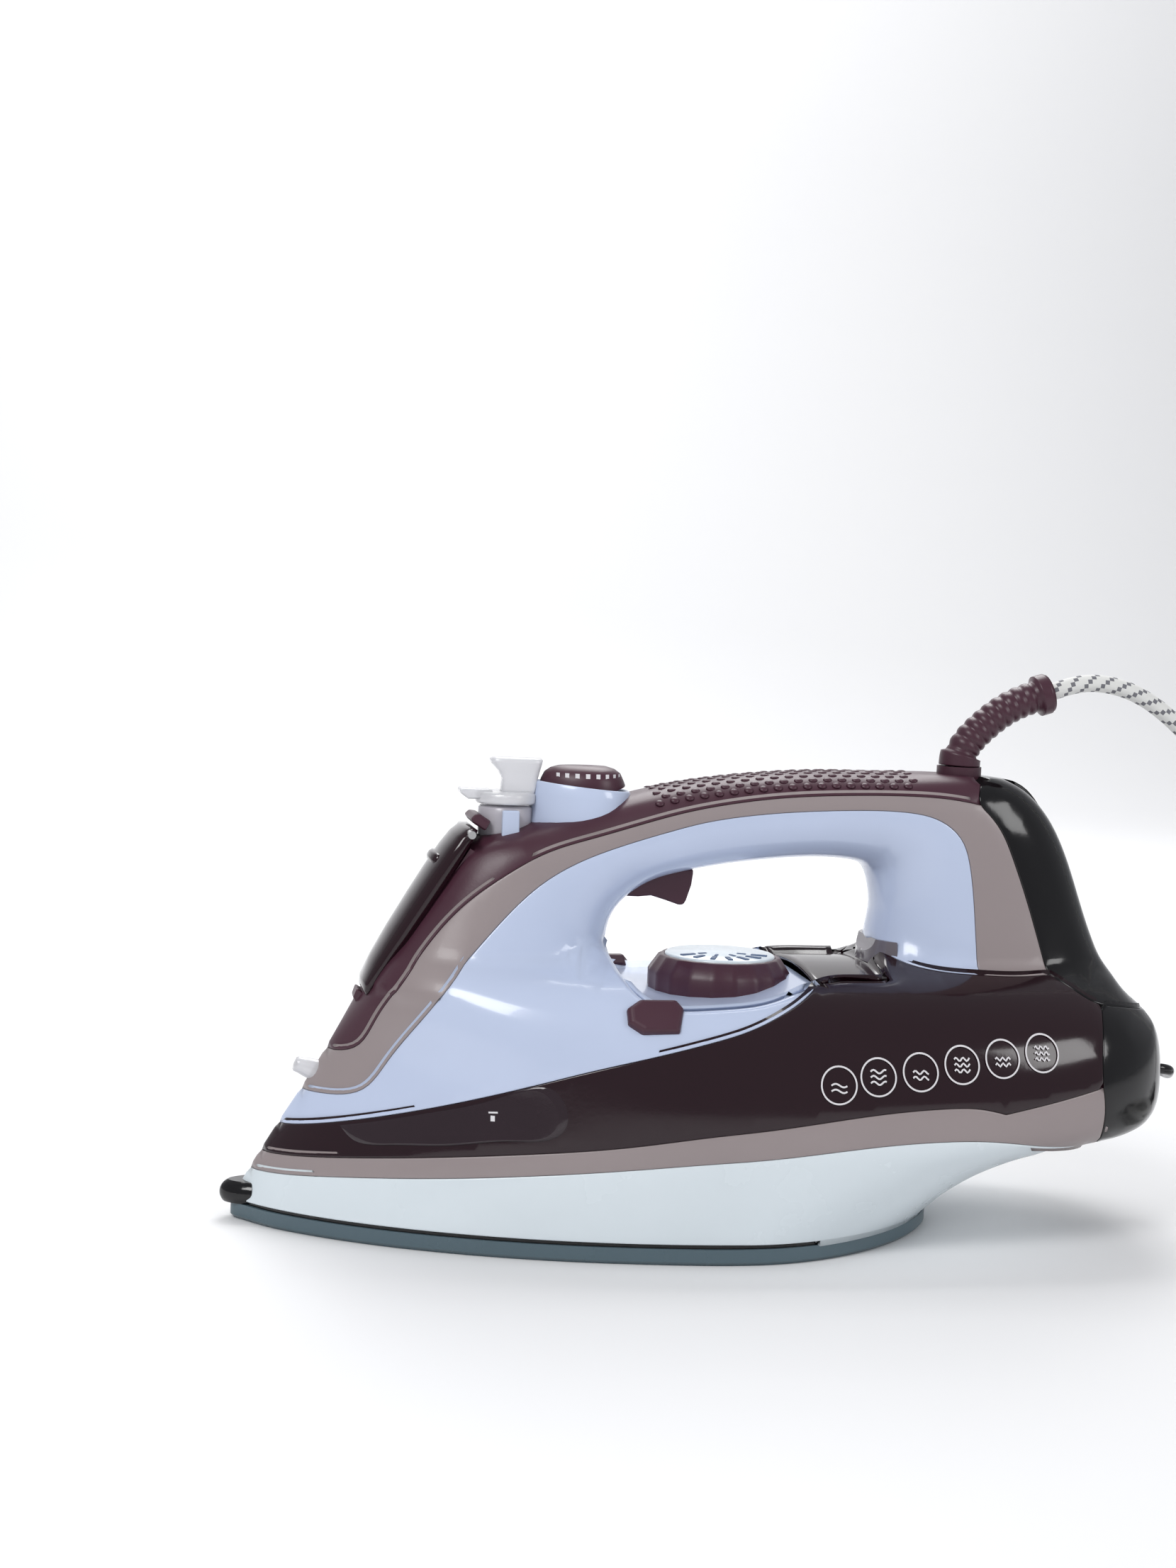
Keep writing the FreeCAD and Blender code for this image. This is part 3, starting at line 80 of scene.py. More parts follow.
# ---------------------------------------------------------------- finishes
@dataclass(frozen=True)
class Finish:
    """A surface finish, made once as a node material and shared.

    Args:
        name: the material's name.
        slot: a slot name kept with the finish; not used.
        colour: linear base colour.
        roughness: middle of the roughness range.
        coat: the family of finish.
        grain: bump grains per metre.
        relief: bump height in metres.
        clearcoat: weight of the clear top layer.
        transmission: share of light let through.
    """

    name: str
    slot: str
    colour: Point3
    roughness: float
    coat: Coat = Coat.MOULDED
    grain: float = 900.0
    relief: float = 0.00002
    clearcoat: float = 0.0
    transmission: float = 0.0

    def material(self) -> bpy.types.Material:
        """Returns the node material, made on first use."""
        found = bpy.data.materials.get(self.name)
        if found:
            return found
        made = bpy.data.materials.new(self.name)
        made.use_nodes = True
        nodes, links = made.node_tree.nodes, made.node_tree.links
        shader = nodes["Principled BSDF"]
        place = nodes.new("ShaderNodeTexCoord")
        drift = nodes.new("ShaderNodeTexNoise")
        drift.inputs["Scale"].default_value = 22.0
        drift.inputs["Detail"].default_value = 3.0
        links.new(place.outputs["Object"], drift.inputs["Vector"])
        tint = nodes.new("ShaderNodeMix")
        tint.data_type = "RGBA"
        tint.inputs["A"].default_value = (*[c * 0.93 for c in self.colour], 1.0)
        tint.inputs["B"].default_value = (*[min(c * 1.06, 1.0) for c in self.colour], 1.0)
        links.new(drift.outputs["Fac"], tint.inputs["Factor"])
        surface = self._weave(nodes, links, tint) if self.coat is Coat.WOVEN else tint.outputs["Result"]
        links.new(surface, shader.inputs["Base Color"])
        self._roughen(nodes, links, place, shader)
        shader.inputs["Coat Weight"].default_value = self.clearcoat
        shader.inputs["Coat Roughness"].default_value = 0.06
        shader.inputs["Transmission Weight"].default_value = self.transmission
        shader.inputs["IOR"].default_value = 1.46
        if self.coat is Coat.METAL:
            shader.inputs["Metallic"].default_value = 1.0
        return made

    @staticmethod
    def _weave(
        nodes: bpy.types.Nodes, links: bpy.types.NodeLinks, tint: bpy.types.Node
    ) -> bpy.types.NodeSocket:
        """Adds small grey checks to a braid, laid along its weave map.

        Args:
            nodes: the material's nodes.
            links: the material's links.
            tint: the ground colour's node.

        Returns:
            The finished colour's socket.
        """
        weave = nodes.new("ShaderNodeUVMap")
        weave.uv_map = "weave"
        checks = []
        for along, around in ((7.0, 12.0), (3.5, 6.0)):
            scaled = nodes.new("ShaderNodeMapping")
            scaled.inputs["Scale"].default_value = (along, around, 1.0)
            links.new(weave.outputs["UV"], scaled.inputs["Vector"])
            check = nodes.new("ShaderNodeTexChecker")
            check.inputs["Scale"].default_value = 1.0
            links.new(scaled.outputs["Vector"], check.inputs["Vector"])
            checks.append(check)
        both = nodes.new("ShaderNodeMath")
        both.operation = "MULTIPLY"
        links.new(checks[0].outputs["Fac"], both.inputs[0])
        links.new(checks[1].outputs["Fac"], both.inputs[1])
        blend = nodes.new("ShaderNodeMix")
        blend.data_type = "RGBA"
        blend.inputs["B"].default_value = (0.17, 0.17, 0.19, 1.0)
        links.new(both.outputs["Value"], blend.inputs["Factor"])
        links.new(tint.outputs["Result"], blend.inputs["A"])
        return blend.outputs["Result"]

    def _roughen(
        self,
        nodes: bpy.types.Nodes,
        links: bpy.types.NodeLinks,
        place: bpy.types.Node,
        shader: bpy.types.Node,
    ) -> None:
        """Adds fine grain: roughness that varies and a small bump.

        Args:
            nodes: the material's nodes.
            links: the material's links.
            place: the coordinate node.
            shader: the surface shader.
        """
        fine = nodes.new("ShaderNodeTexNoise")
        fine.inputs["Scale"].default_value = self.grain
        fine.inputs["Detail"].default_value = 2.0
        if self.coat is Coat.METAL:
            stretch = nodes.new("ShaderNodeMapping")
            stretch.inputs["Scale"].default_value = (0.05, 1.0, 1.0)
            links.new(place.outputs["Object"], stretch.inputs["Vector"])
            links.new(stretch.outputs["Vector"], fine.inputs["Vector"])
        else:
            links.new(place.outputs["Object"], fine.inputs["Vector"])
        smudge = nodes.new("ShaderNodeTexNoise")
        smudge.inputs["Scale"].default_value = 38.0
        smudge.inputs["Detail"].default_value = 5.0
        links.new(place.outputs["Object"], smudge.inputs["Vector"])
        spread = nodes.new("ShaderNodeMapRange")
        spread.inputs["From Min"].default_value = 0.3
        spread.inputs["From Max"].default_value = 0.7
        spread.inputs["To Min"].default_value = self.roughness * 0.85
        spread.inputs["To Max"].default_value = self.roughness * 1.25 + 0.01
        links.new(smudge.outputs["Fac"], spread.inputs["Value"])
        links.new(spread.outputs["Result"], shader.inputs["Roughness"])
        bump = nodes.new("ShaderNodeBump")
        bump.inputs["Strength"].default_value = 0.5
        bump.inputs["Distance"].default_value = self.relief
        links.new(fine.outputs["Fac"], bump.inputs["Height"])
        links.new(bump.outputs["Normal"], shader.inputs["Normal"])


PALE_BLUE = Finish("pale_blue_gloss", "pale_blue", (0.545, 0.62, 0.80), 0.20, clearcoat=0.35)
COOL_WHITE = Finish("cool_white_gloss", "cool_white", (0.72, 0.79, 0.83), 0.24, clearcoat=0.25)
WARM_GREY = Finish("warm_grey_satin", "warm_grey", (0.31, 0.262, 0.262), 0.34, grain=1400.0, clearcoat=0.1)
PLUM = Finish("plum_satin", "plum", (0.062, 0.020, 0.034), 0.36, grain=1600.0, relief=0.00003)
PLUM_GLOSS = Finish("plum_gloss", "tank_plum", (0.015, 0.0030, 0.0065), 0.11, clearcoat=0.15)
BLACK = Finish("black_gloss", "black", (0.0030, 0.0026, 0.0034), 0.13, clearcoat=0.1)
SOLE = Finish("sole_enamel", "sole_metal", (0.085, 0.130, 0.155), 0.28, relief=0.00004)
STEEL = Finish("bright_steel", "steel", (0.60, 0.60, 0.60), 0.24, Coat.METAL)
ALLOY = Finish("cast_alloy", "cast_alloy", (0.50, 0.51, 0.52), 0.45, Coat.METAL, relief=0.00008)
FROST = Finish(
    "frosted_clear", "frost_clear", (0.86, 0.86, 0.89), 0.20, Coat.CLEAR, transmission=0.35, clearcoat=0.3
)
SMOKE = Finish("smoke_plastic", "grey_plastic", (0.46, 0.44, 0.48), 0.22, Coat.CLEAR, clearcoat=0.3)
AMBER = Finish(
    "lens_plastic", "amber_lens", (0.42, 0.38, 0.36), 0.22, Coat.CLEAR, transmission=0.2, clearcoat=0.4
)
LENS = Finish("smoke_lens", "amber_lens", (0.16, 0.14, 0.16), 0.16, Coat.CLEAR, clearcoat=0.5)
WINDOW = Finish("tank_window", "tank_plum", (0.022, 0.011, 0.016), 0.06, Coat.CLEAR, clearcoat=0.3)
BRAID = Finish("woven_braid", "cord_braid", (0.74, 0.74, 0.72), 0.7, Coat.WOVEN, relief=0.00025)
PRINT = Finish("pale_print", "cool_white", (0.74, 0.72, 0.74), 0.5)
DARK_PRINT = Finish("dark_print", "sole_metal", (0.10, 0.15, 0.26), 0.5)

NODE_FINISHES: dict[str, Finish] = {
    "soleplate": SOLE,
    "heat_shield": BLACK,
    "spray_nozzle": FROST,
    "steam_chamber": ALLOY,
    "chamber_lid": ALLOY,
    "heating_element": STEEL,
    "thermostat": STEEL,
    "thermal_fuse": STEEL,
    "dial_shaft": STEEL,
    "valve_stem": STEEL,
    "drip_valve": STEEL,
    "spray_pump": SMOKE,
    "burst_pump": SMOKE,
    "spray_spring": STEEL,
    "burst_spring": STEEL,
    "trigger_spring": STEEL,
    "trigger_pin": STEEL,
    "lid_pin": STEEL,
    "pilot_lamp": AMBER,
    "inner_cable": BLACK,
    "terminal_block": SMOKE,
    "plug_pins": STEEL,
    "pilot_lens": LENS,
    "cord_clip": BLACK,
    "filler_neck": PLUM,
    "filler_seat": PLUM,
    "guard_bush": PLUM,
}


# ---------------------------------------------------------------- mesh helpers
def mesh_piece(
    name: str, points: list, faces: list, finish: Finish, body: str, smooth: bool = True
) -> bpy.types.Object:
    """Makes a mesh object in metres from points in millimetres.

    Args:
        name: the piece's name.
        points: corner points in millimetres.
        faces: corner indices of each face.
        finish: the surface finish.
        body: the moving body that carries the piece, or nothing for a piece that rides on no body.
        smooth: whether the faces shade smoothly.

    Returns:
        The new object, riding on its body.
    """
    data = bpy.data.meshes.new(name)
    data.from_pydata([tuple(float(c) * MM for c in p) for p in points], [], faces)
    work = bmesh.new()
    work.from_mesh(data)
    bmesh.ops.remove_doubles(work, verts=work.verts, dist=0.000002)
    bmesh.ops.recalc_face_normals(work, faces=work.faces)
    work.to_mesh(data)
    work.free()
    data.polygons.foreach_set("use_smooth", [smooth] * len(data.polygons))
    made = bpy.data.objects.new(name, data)
    bpy.context.scene.collection.objects.link(made)
    data.materials.append(finish.material())
    if body:
        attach(made, body)
    LOG.info("%s: %d faces, %s", name, len(data.polygons), finish.name)
    return made


def grid_faces(rows: int, columns: int, closed: bool = True, start: int = 0) -> list:
    """Quads between neighbouring rows of points.

    Args:
        rows: number of rows.
        columns: points in each row.
        closed: whether each row joins its own ends.
        start: index of the first point.

    Returns:
        The faces' corner indices.
    """
    faces = []
    for row in range(rows - 1):
        for column in range(columns if closed else columns - 1):
            after = (column + 1) % columns
            first, second = start + row * columns, start + (row + 1) * columns
            faces.append((first + column, first + after, second + after, second + column))
    return faces


def loft(name: str, rings: list, finish: Finish, body: str, smooth: bool = True) -> bpy.types.Object:
    """Skins closed rings of equal length and caps both ends.

    Args:
        name: the piece's name.
        rings: lists of points, all of one length.
        finish: the surface finish.
        body: the moving body.
        smooth: whether the faces shade smoothly.

    Returns:
        The new object.
    """
    columns = len(rings[0])
    points = [p for ring in rings for p in ring]
    faces = grid_faces(len(rings), columns)
    faces.append(tuple(range(columns)))
    faces.append(tuple(len(points) - columns + i for i in range(columns)))
    return mesh_piece(name, points, faces, finish, body, smooth)


def crisp(
    made: bpy.types.Object, width: float = 0.4, segments: int = 3, angle: float = 35.0
) -> bpy.types.Object:
    """Rounds a piece's sharp edges.

    Args:
        made: the piece.
        width: the rounding's width in millimetres.
        segments: steps across the rounding.
        angle: edges sharper than this are rounded, in degrees.

    Returns:
        The same piece.
    """
    round_edges = made.modifiers.new("round_edges", "BEVEL")
    round_edges.width = width * MM
    round_edges.segments = segments
    round_edges.limit_method = "ANGLE"
    round_edges.angle_limit = math.radians(angle)
    round_edges.harden_normals = True
    return made


def lathe(centre: Point3, profile: list, steps: int = 64, lobes: int = 0, lobe: float = 0.0) -> list:
    """Turns a profile about an upright axis.

    Args:
        centre: the axis foot in millimetres.
        profile: (radius, height) pairs from one end to the other.
        steps: points round each ring.
        lobes: number of grip lobes round the outside.
        lobe: depth of the lobes in millimetres.

    Returns:
        The rings.
    """
    rings = []
    for radius, height in profile:
        ring = []
        for step in range(steps):
            angle = 2 * math.pi * step / steps
            reach = radius - lobe * (radius > 3) * abs(math.sin(angle * lobes / 2)) if lobes else radius
            x, y = centre[0] + reach * math.cos(angle), centre[1] + reach * math.sin(angle)
            ring.append((x, y, centre[2] + height))
        rings.append(ring)
    return rings


def spline(points: list, count: int) -> np.ndarray:
    """A natural cubic curve through points, stepped by the distance between them.

    Args:
        points: rows of coordinates.
        count: number of samples.

    Returns:
        The samples, one row each.
    """
    given = np.array(points, float)
    last = len(given) - 1
    gap = np.linalg.norm(np.diff(given, axis=0), axis=1) ** 0.8
    system, right = np.eye(last + 1), np.zeros_like(given)
    for i in range(1, last):
        system[i, i - 1 : i + 2] = (gap[i - 1], 2 * (gap[i - 1] + gap[i]), gap[i])
        right[i] = 6 * ((given[i + 1] - given[i]) / gap[i] - (given[i] - given[i - 1]) / gap[i - 1])
    bend = np.linalg.solve(system, right)
    knots = np.concatenate([[0], np.cumsum(gap)])
    along = np.linspace(0, knots[-1], count)
    index = np.clip(np.searchsorted(knots, along, side="right") - 1, 0, last - 1)
    width = gap[index][:, None]
    t = (along - knots[index])[:, None] / width
    low, high = given[index], given[index + 1]
    sag = ((1 - t) ** 3 - (1 - t)) * bend[index] + (t**3 - t) * bend[index + 1]
    return low * (1 - t) + high * t + sag * width**2 / 6


def resampled(line: np.ndarray, step: float) -> np.ndarray:
    """A polyline with points a given step apart, keeping its ends.

    Args:
        line: the polyline's points, one row each.
        step: the spacing to aim for.

    Returns:
        The new points.
    """
    gaps = np.linalg.norm(np.diff(line, axis=0), axis=1)
    run = np.concatenate([[0], np.cumsum(gaps)])
    count = max(int(round(run[-1] / step)), 1) + 1
    where = np.linspace(0, run[-1], count)
    return np.stack([np.interp(where, run, line[:, i]) for i in range(line.shape[1])], axis=1)


def crossing(first: np.ndarray, second: np.ndarray) -> tuple[int, int, np.ndarray]:
    """Where two polylines first cross.

    Args:
        first: one polyline.
        second: the other polyline.

    Returns:
        The index of the step on each, and the point.
    """
    for i in range(len(first) - 1):
        a, d = first[i], first[i + 1] - first[i]
        b, e = second[:-1], second[1:] - second[:-1]
        cross = d[0] * e[:, 1] - d[1] * e[:, 0]
        cross = np.where(np.abs(cross) < 1e-12, 1e-12, cross)
        t = ((b[:, 0] - a[0]) * e[:, 1] - (b[:, 1] - a[1]) * e[:, 0]) / cross
        u = ((b[:, 0] - a[0]) * d[1] - (b[:, 1] - a[1]) * d[0]) / cross
        hit = np.nonzero((t >= 0) & (t < 1) & (u >= 0) & (u <= 1))[0]
        if len(hit):
            return i, int(hit[0]), a + d * t[hit[0]]
    raise ValueError("the two lines do not cross")


def until(line: np.ndarray, other: np.ndarray) -> np.ndarray:
    """A polyline from its start to where it first crosses another.

    Args:
        line: the polyline to cut.
        other: the polyline that cuts it.

    Returns:
        The part before the crossing.
    """
    i, _, tail = crossing(line, other)
    return np.vstack([line[: i + 1], tail])


def after(line: np.ndarray, other: np.ndarray) -> np.ndarray:
    """A polyline from where it first crosses another to its end.

    Args:
        line: the polyline to cut.
        other: the polyline that cuts it.

    Returns:
        The part after the crossing.
    """
    i, _, head = crossing(line, other)
    return np.vstack([head, line[i + 1 :]])


def between(line: np.ndarray, start: np.ndarray, end: np.ndarray) -> np.ndarray:
    """The stretch of a polyline from its crossing with one line to its next crossing with another.

    Args:
        line: the polyline to cut.
        start: the line where the stretch begins.
        end: the line where it ends.

    Returns:
        The stretch.
    """
    return until(after(line, start), end)


def away(points: np.ndarray, line: np.ndarray) -> np.ndarray:
    """Each point's distance to a polyline.

    Args:
        points: the points, one row each.
        line: the polyline.

    Returns:
        The distances.
    """
    best = np.full(len(points), 1e9)
    for start, end in zip(line[:-1], line[1:]):
        run = end - start
        share = np.clip((points - start) @ run / max(run @ run, 1e-12), 0, 1)
        best = np.minimum(best, np.linalg.norm(points - start - share[:, None] * run, axis=1))
    return best


def inside(points: np.ndarray, loop: np.ndarray) -> np.ndarray:
    """Whether each point lies inside a closed outline.

    Args:
        points: the points, one row each.
        loop: the outline's corners.

    Returns:
        True for each point inside.
    """
    odd = np.zeros(len(points), bool)
    for (x0, z0), (x1, z1) in zip(loop, np.roll(loop, -1, axis=0)):
        spans = (z0 > points[:, 1]) != (z1 > points[:, 1])
        if z0 != z1:
            odd ^= spans & (points[:, 0] < (x1 - x0) * (points[:, 1] - z0) / (z1 - z0) + x0)
    return odd


# ---------------------------------------------------------------- the outside form
@dataclass
class Hull:
    """The iron's outside form: how far it stands out from the centre plane at each (x, z).

    Args:
        sole_top: height of the soleplate's top.
        sole_half: half the width at the soleplate.
        belly_half: half the greatest width.
        belly_height: height of the greatest width.
        deck: height of the deck under the handle.
        deck_half: half the width towards the deck.
        widest_at: where the soleplate is widest.
        fade_from: height at which the body begins to give way to the handle.
        fade_over: height over which it does so.
    """

    sole_top: float = 5.0
    sole_half: float = 57.0
    belly_half: float = 58.0
    belly_height: float = 34.0
    deck: float = 82.0
    deck_half: float = 25.0
    widest_at: float = 5.0
    fade_from: float = 80.0
    fade_over: float = 10.0

    def __post_init__(self) -> None:
        """Draws the outline and the handle's stations."""
        self.outline = spline(
            [
                (-144.6, 6.2), (-139.8, 15), (-131.6, 29), (-124.2, 41), (-117.4, 53), (-110.9, 65),
                (-104.2, 76.5), (-94.8, 92), (-86.0, 106.3), (-77.5, 116.5), (-67, 120.8), (-56, 123.5),
                (-42, 128), (-30, 131.8), (-18, 134.9), (-3, 137.7), (14, 139.8), (35, 141.3),
                (60, 141.7), (80, 141.3), (93, 140.6), (99.5, 138.8), (104.5, 134.6), (109, 127.4),
                (117, 109), (124, 92.5), (129.3, 80.5), (132.6, 75.6), (137.4, 71.4), (141.2, 66.5),
                (143.2, 59), (144, 49), (143.2, 40.5), (140.5, 36.3), (132, 33.2), (120, 30.8),
                (108, 28.2), (97, 24.6), (88, 20.2), (80.5, 14.6), (76, 9.8), (74, 6.2),
            ],
            420,
        )
        top = int(np.argmax(self.outline[:, 1]))
        self.front_line, self.back_line = self.outline[:top], self.outline[top:][::-1]
        self.stations = spline(
            [
                (-106.3, 73, -33.0, 73, 29), (-94.8, 92, -33.4, 88, 23.5), (-86, 106.3, -30.6, 97.5, 21.5),
                (-77.5, 116.5, -23, 104.3, 20), (-56, 123.5, -11, 108.8, 18.5), (-30, 131.8, 2, 111.4, 17.8),
                (-3, 137.7, 14, 113, 17.4), (35, 141.3, 33, 114.4, 17.4), (60, 141.7, 44.5, 113.6, 17.8),
                (93, 140.6, 50.5, 109.3, 18.6), (109, 127.4, 52.3, 102, 19.6), (121.5, 98.5, 51.8, 93, 21.5),
                (131.5, 76.5, 49, 76, 25),
            ],
            241,
        )

    def half(self, z: np.ndarray) -> np.ndarray:
        """Half the body's width; it dies away above the deck.

        Args:
            z: the heights.

        Returns:
            The half width at each.
        """
        spread = self.belly_half - self.sole_half
        lower = self.sole_half + spread * (z - self.sole_top) / (self.belly_height - self.sole_top)
        part = np.clip((z - self.belly_height) / (self.deck - self.belly_height), 0.0, 0.958)
        upper = self.deck_half + (self.belly_half - self.deck_half) * (1 - part**2.6) ** 0.62
        fade = np.clip((z - self.fade_from) / self.fade_over, 0, 1)
        return np.where(z < self.belly_height, lower, upper * (1 - fade) ** 1.2)

    def body_depth(self, x: np.ndarray, z: np.ndarray) -> np.ndarray:
        """How far the lower body stands out.

        Args:
            x: places along the iron.
            z: their heights.

        Returns:
            The distance from the centre plane at each.
        """
        nose = np.interp(z, self.front_line[:, 1], self.front_line[:, 0])
        rear = np.interp(z, self.back_line[:, 1], self.back_line[:, 0])
        widest = self.widest_at + 8 * (z - self.sole_top) / (self.deck - self.sole_top)
        part = np.clip((z - self.belly_height) / (self.deck - self.belly_height), 0.0, 1.0)
        climb = np.clip((z - self.sole_top) / (self.belly_height - self.sole_top), 0.0, 1.0)
        square = 1.7 + 1.4 * climb + 0.9 * part
        lead, fullness = 2.0 + 2.0 * part**3, 1.4 + 1.8 * part**3
        ahead = np.clip((x - nose) / (widest - nose), 0, 1)
        behind = np.clip((x - widest) / (rear - widest), 0, 1)
        shape = np.where(
            x < widest, (1 - (1 - ahead) ** lead) ** (1 / fullness), (1 - behind**square) ** (1 / square)
        )
        return self.half(z) * shape

    def arch_depth(self, x: np.ndarray, z: np.ndarray) -> np.ndarray:
        """How far the handle stands out.

        Args:
            x: places along the iron.
            z: their heights.

        Returns:
            The distance from the centre plane at each.
        """
        outer, inner, half = self.stations[:, 0:2], self.stations[:, 2:4], self.stations[:, 4]
        line = outer - inner
        side = line[:, 0] * (z[:, None] - inner[:, 1]) - line[:, 1] * (x[:, None] - inner[:, 0])
        turned = side[:, :-1] * side[:, 1:] <= 0
        depth = np.zeros(len(x))
        for step in range(turned.shape[1]):
            here = np.nonzero(turned[:, step])[0]
            if not len(here):
                continue
            a, b = side[here, step], side[here, step + 1]
            blend = (a / np.where(np.abs(a - b) < 1e-12, 1e-12, a - b))[:, None]
            foot = inner[step] * (1 - blend) + inner[step + 1] * blend
            run = line[step] * (1 - blend) + line[step + 1] * blend
            climbed = (x[here] - foot[:, 0]) * run[:, 0] + (z[here] - foot[:, 1]) * run[:, 1]
            reach = climbed / (run**2).sum(axis=1)
            width = half[step] * (1 - blend[:, 0]) + half[step + 1] * blend[:, 0]
            round_off = np.clip(1 - np.abs(2 * reach - 1) ** 2.5, 0, 1) ** (1 / 2.5)
            depth[here] = np.maximum(depth[here], width * round_off)
        return depth

    def depth(self, x: np.ndarray, z: np.ndarray, blend: float = 9.0) -> np.ndarray:
        """The body and the handle run together softly.

        Args:
            x: places along the iron.
            z: their heights.
            blend: how broadly the two run together, in millimetres.

        Returns:
            The distance from the centre plane at each.
        """
        body, arch = self.body_depth(x, z), self.arch_depth(x, z)
        most = np.maximum(body, arch)
        reach = np.minimum(blend, 0.8 * most) + 1e-9
        overlap = np.clip(1 - np.abs(body - arch) / reach, 0, 1)
        return most + overlap**2 * reach / 4


HULL = Hull()


@dataclass
class Shell:
    """One casing shell, cut from the outside form by its borders.

    Args:
        name: the shell's name.
        finish: its surface finish.
        borders: stretches of its border in order, each with how its edge is finished.
        replaces: the frame nodes that it stands for.
        step: spacing of the points along the borders, in millimetres.
        grid: spacing of the points between them.
        seam_round: radius of a seam's edge.
        rim_round: radius of a rim's edge.
        wall: the shell's thickness.
        deck_crown: how far the deck over a rim rises, per millimetre of its half width.
    """

    name: str
    finish: Finish
    borders: list
    replaces: tuple[str, ...]
    step: float = 2.0
    grid: float = 3.0
    seam_round: float = 0.45
    rim_round: float = 2.6
    wall: float = 1.8
    deck_crown: float = 0.012

    ROWS = {
        Edge.SEAM: [0.1, 0.25, 0.5],
        Edge.RIM: [0.1, 0.4, 0.9, 1.6, 2.6],
        Edge.CENTRE: [13.0 * (k / 9) ** 2.5 for k in range(1, 10)],
    }

    def loop(self) -> tuple[np.ndarray, list]:
        """Returns the closed border, counter-clockwise, and the kind of the edge that leaves each corner."""
        points, kinds = [], []
        for line, edge in self.borders:
            for point in resampled(line, self.step)[:-1]:
                points.append(point)
                kinds.append(edge)
        outline = np.array(points)
        x, z = outline[:, 0], outline[:, 1]
        if np.sum(x * np.roll(z, -1) - np.roll(x, -1) * z) < 0:
            outline, kinds = outline[::-1].copy(), kinds[::-1]
            kinds = kinds[1:] + kinds[:1]
        return outline, kinds

    def cloud(self, outline: np.ndarray, kinds: list) -> np.ndarray:
        """Fills the border with points: rows along its edges, then an even field.

        Args:
            outline: the closed border.
            kinds: each corner's edge kind.

        Returns:
            The points, one row each, the border's own first.
        """
        heading = np.roll(outline, -1, axis=0) - np.roll(outline, 1, axis=0)
        heading /= np.linalg.norm(heading, axis=1)[:, None]
        inward = np.stack([-heading[:, 1], heading[:, 0]], axis=1)
        closed = np.vstack([outline, outline[:1]])
        kept = list(outline)
        near = set(kinds)
        lines = {kind: [line for line, edge in self.borders if edge is kind] for kind in near}
        seams = [resampled(line, self.step) for line in lines.get(Edge.SEAM, [])]
        for kind in (Edge.SEAM, Edge.RIM, Edge.CENTRE):
            rows = [0.0, *self.ROWS[kind]]
            mine = np.array([k is kind for k in kinds])
            for before, row in zip(rows, rows[1:]):
                if not mine.any():
                    break
                fresh = outline[mine] + inward[mine] * row
                fresh = fresh[inside(fresh, outline)]
                if not len(fresh):
                    continue
                fresh = fresh[away(fresh, closed) > 0.93 * row]
                if kind is not Edge.SEAM:
                    for line in seams:
                        fresh = fresh[away(fresh, line) > self.ROWS[Edge.SEAM][-1] + 0.4]
                for point in fresh:
                    gap = np.min(np.linalg.norm(np.array(kept) - point, axis=1))
                    if gap > min(0.55 * self.step, 0.7 * (row - before)):
                        kept.append(point)
        low, high = outline.min(axis=0), outline.max(axis=0)
        field = []
        for row, z in enumerate(np.arange(low[1], high[1], self.grid * 0.87)):
            for x in np.arange(low[0] + (row % 2) * self.grid / 2, high[0], self.grid):
                field.append((x, z))
        field = np.array(field)
        field = field[inside(field, outline)]
        for kind, stretches in lines.items():
            margin = self.ROWS[kind][-1] + (1.2 if kind is not Edge.CENTRE else 0.4)
            for line in stretches:
                if len(field):
                    field = field[away(field, resampled(line, self.step)) > margin]
        base = np.array(kept)
        if len(field):
            gap = np.array([np.min(np.linalg.norm(base - point, axis=1)) for point in field])
            base = np.vstack([base, field[gap > 0.5 * self.grid]])
        return base

    def build(self) -> bpy.types.Object:
        """Returns the finished shell."""
        outline, kinds = self.loop()
        cloud = self.cloud(outline, kinds)
        count = len(outline)
        ring = [(i, (i + 1) % count) for i in range(count)]
        flat, _, triangles, origins, _, _ = delaunay_2d_cdt([Vector(p) for p in cloud], ring, [], 1, 1e-6)
        plane = np.array([tuple(v) for v in flat])
        depth = HULL.depth(plane[:, 0], plane[:, 1])
        place = {corner: index for index, found in enumerate(origins) for corner in found}
        for index in range(count):
            if Edge.CENTRE in (kinds[index], kinds[index - 1]) and index in place:
                depth[place[index]] = 0.0
        near = np.stack([plane[:, 0], -depth, plane[:, 1]], axis=1)
        faces = [tuple(face) for face in triangles if len(face) == 3]
        near = self.soften(near, faces, plane)
        corner = near[np.array(faces)]
        facing = np.cross(corner[:, 1] - corner[:, 0], corner[:, 2] - corner[:, 0])[:, 1]
        faces = [face if way <= 0 else face[::-1] for face, way in zip(faces, facing)]
        points = [tuple(p) for p in near] + [(p[0], -p[1], p[2]) for p in near]
        total = len(near)
        mirrored = [tuple(i + total for i in face[::-1]) for face in faces]
        deck_points, deck_faces = self.deck(near, place, kinds, len(points))
        made = shell_piece(self.name, points + deck_points, faces + mirrored + deck_faces, self.finish)
        thick = made.modifiers.new("wall", "SOLIDIFY")
        thick.thickness = self.wall * MM
        thick.offset = -1.0
        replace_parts(made, *self.replaces)
        return made

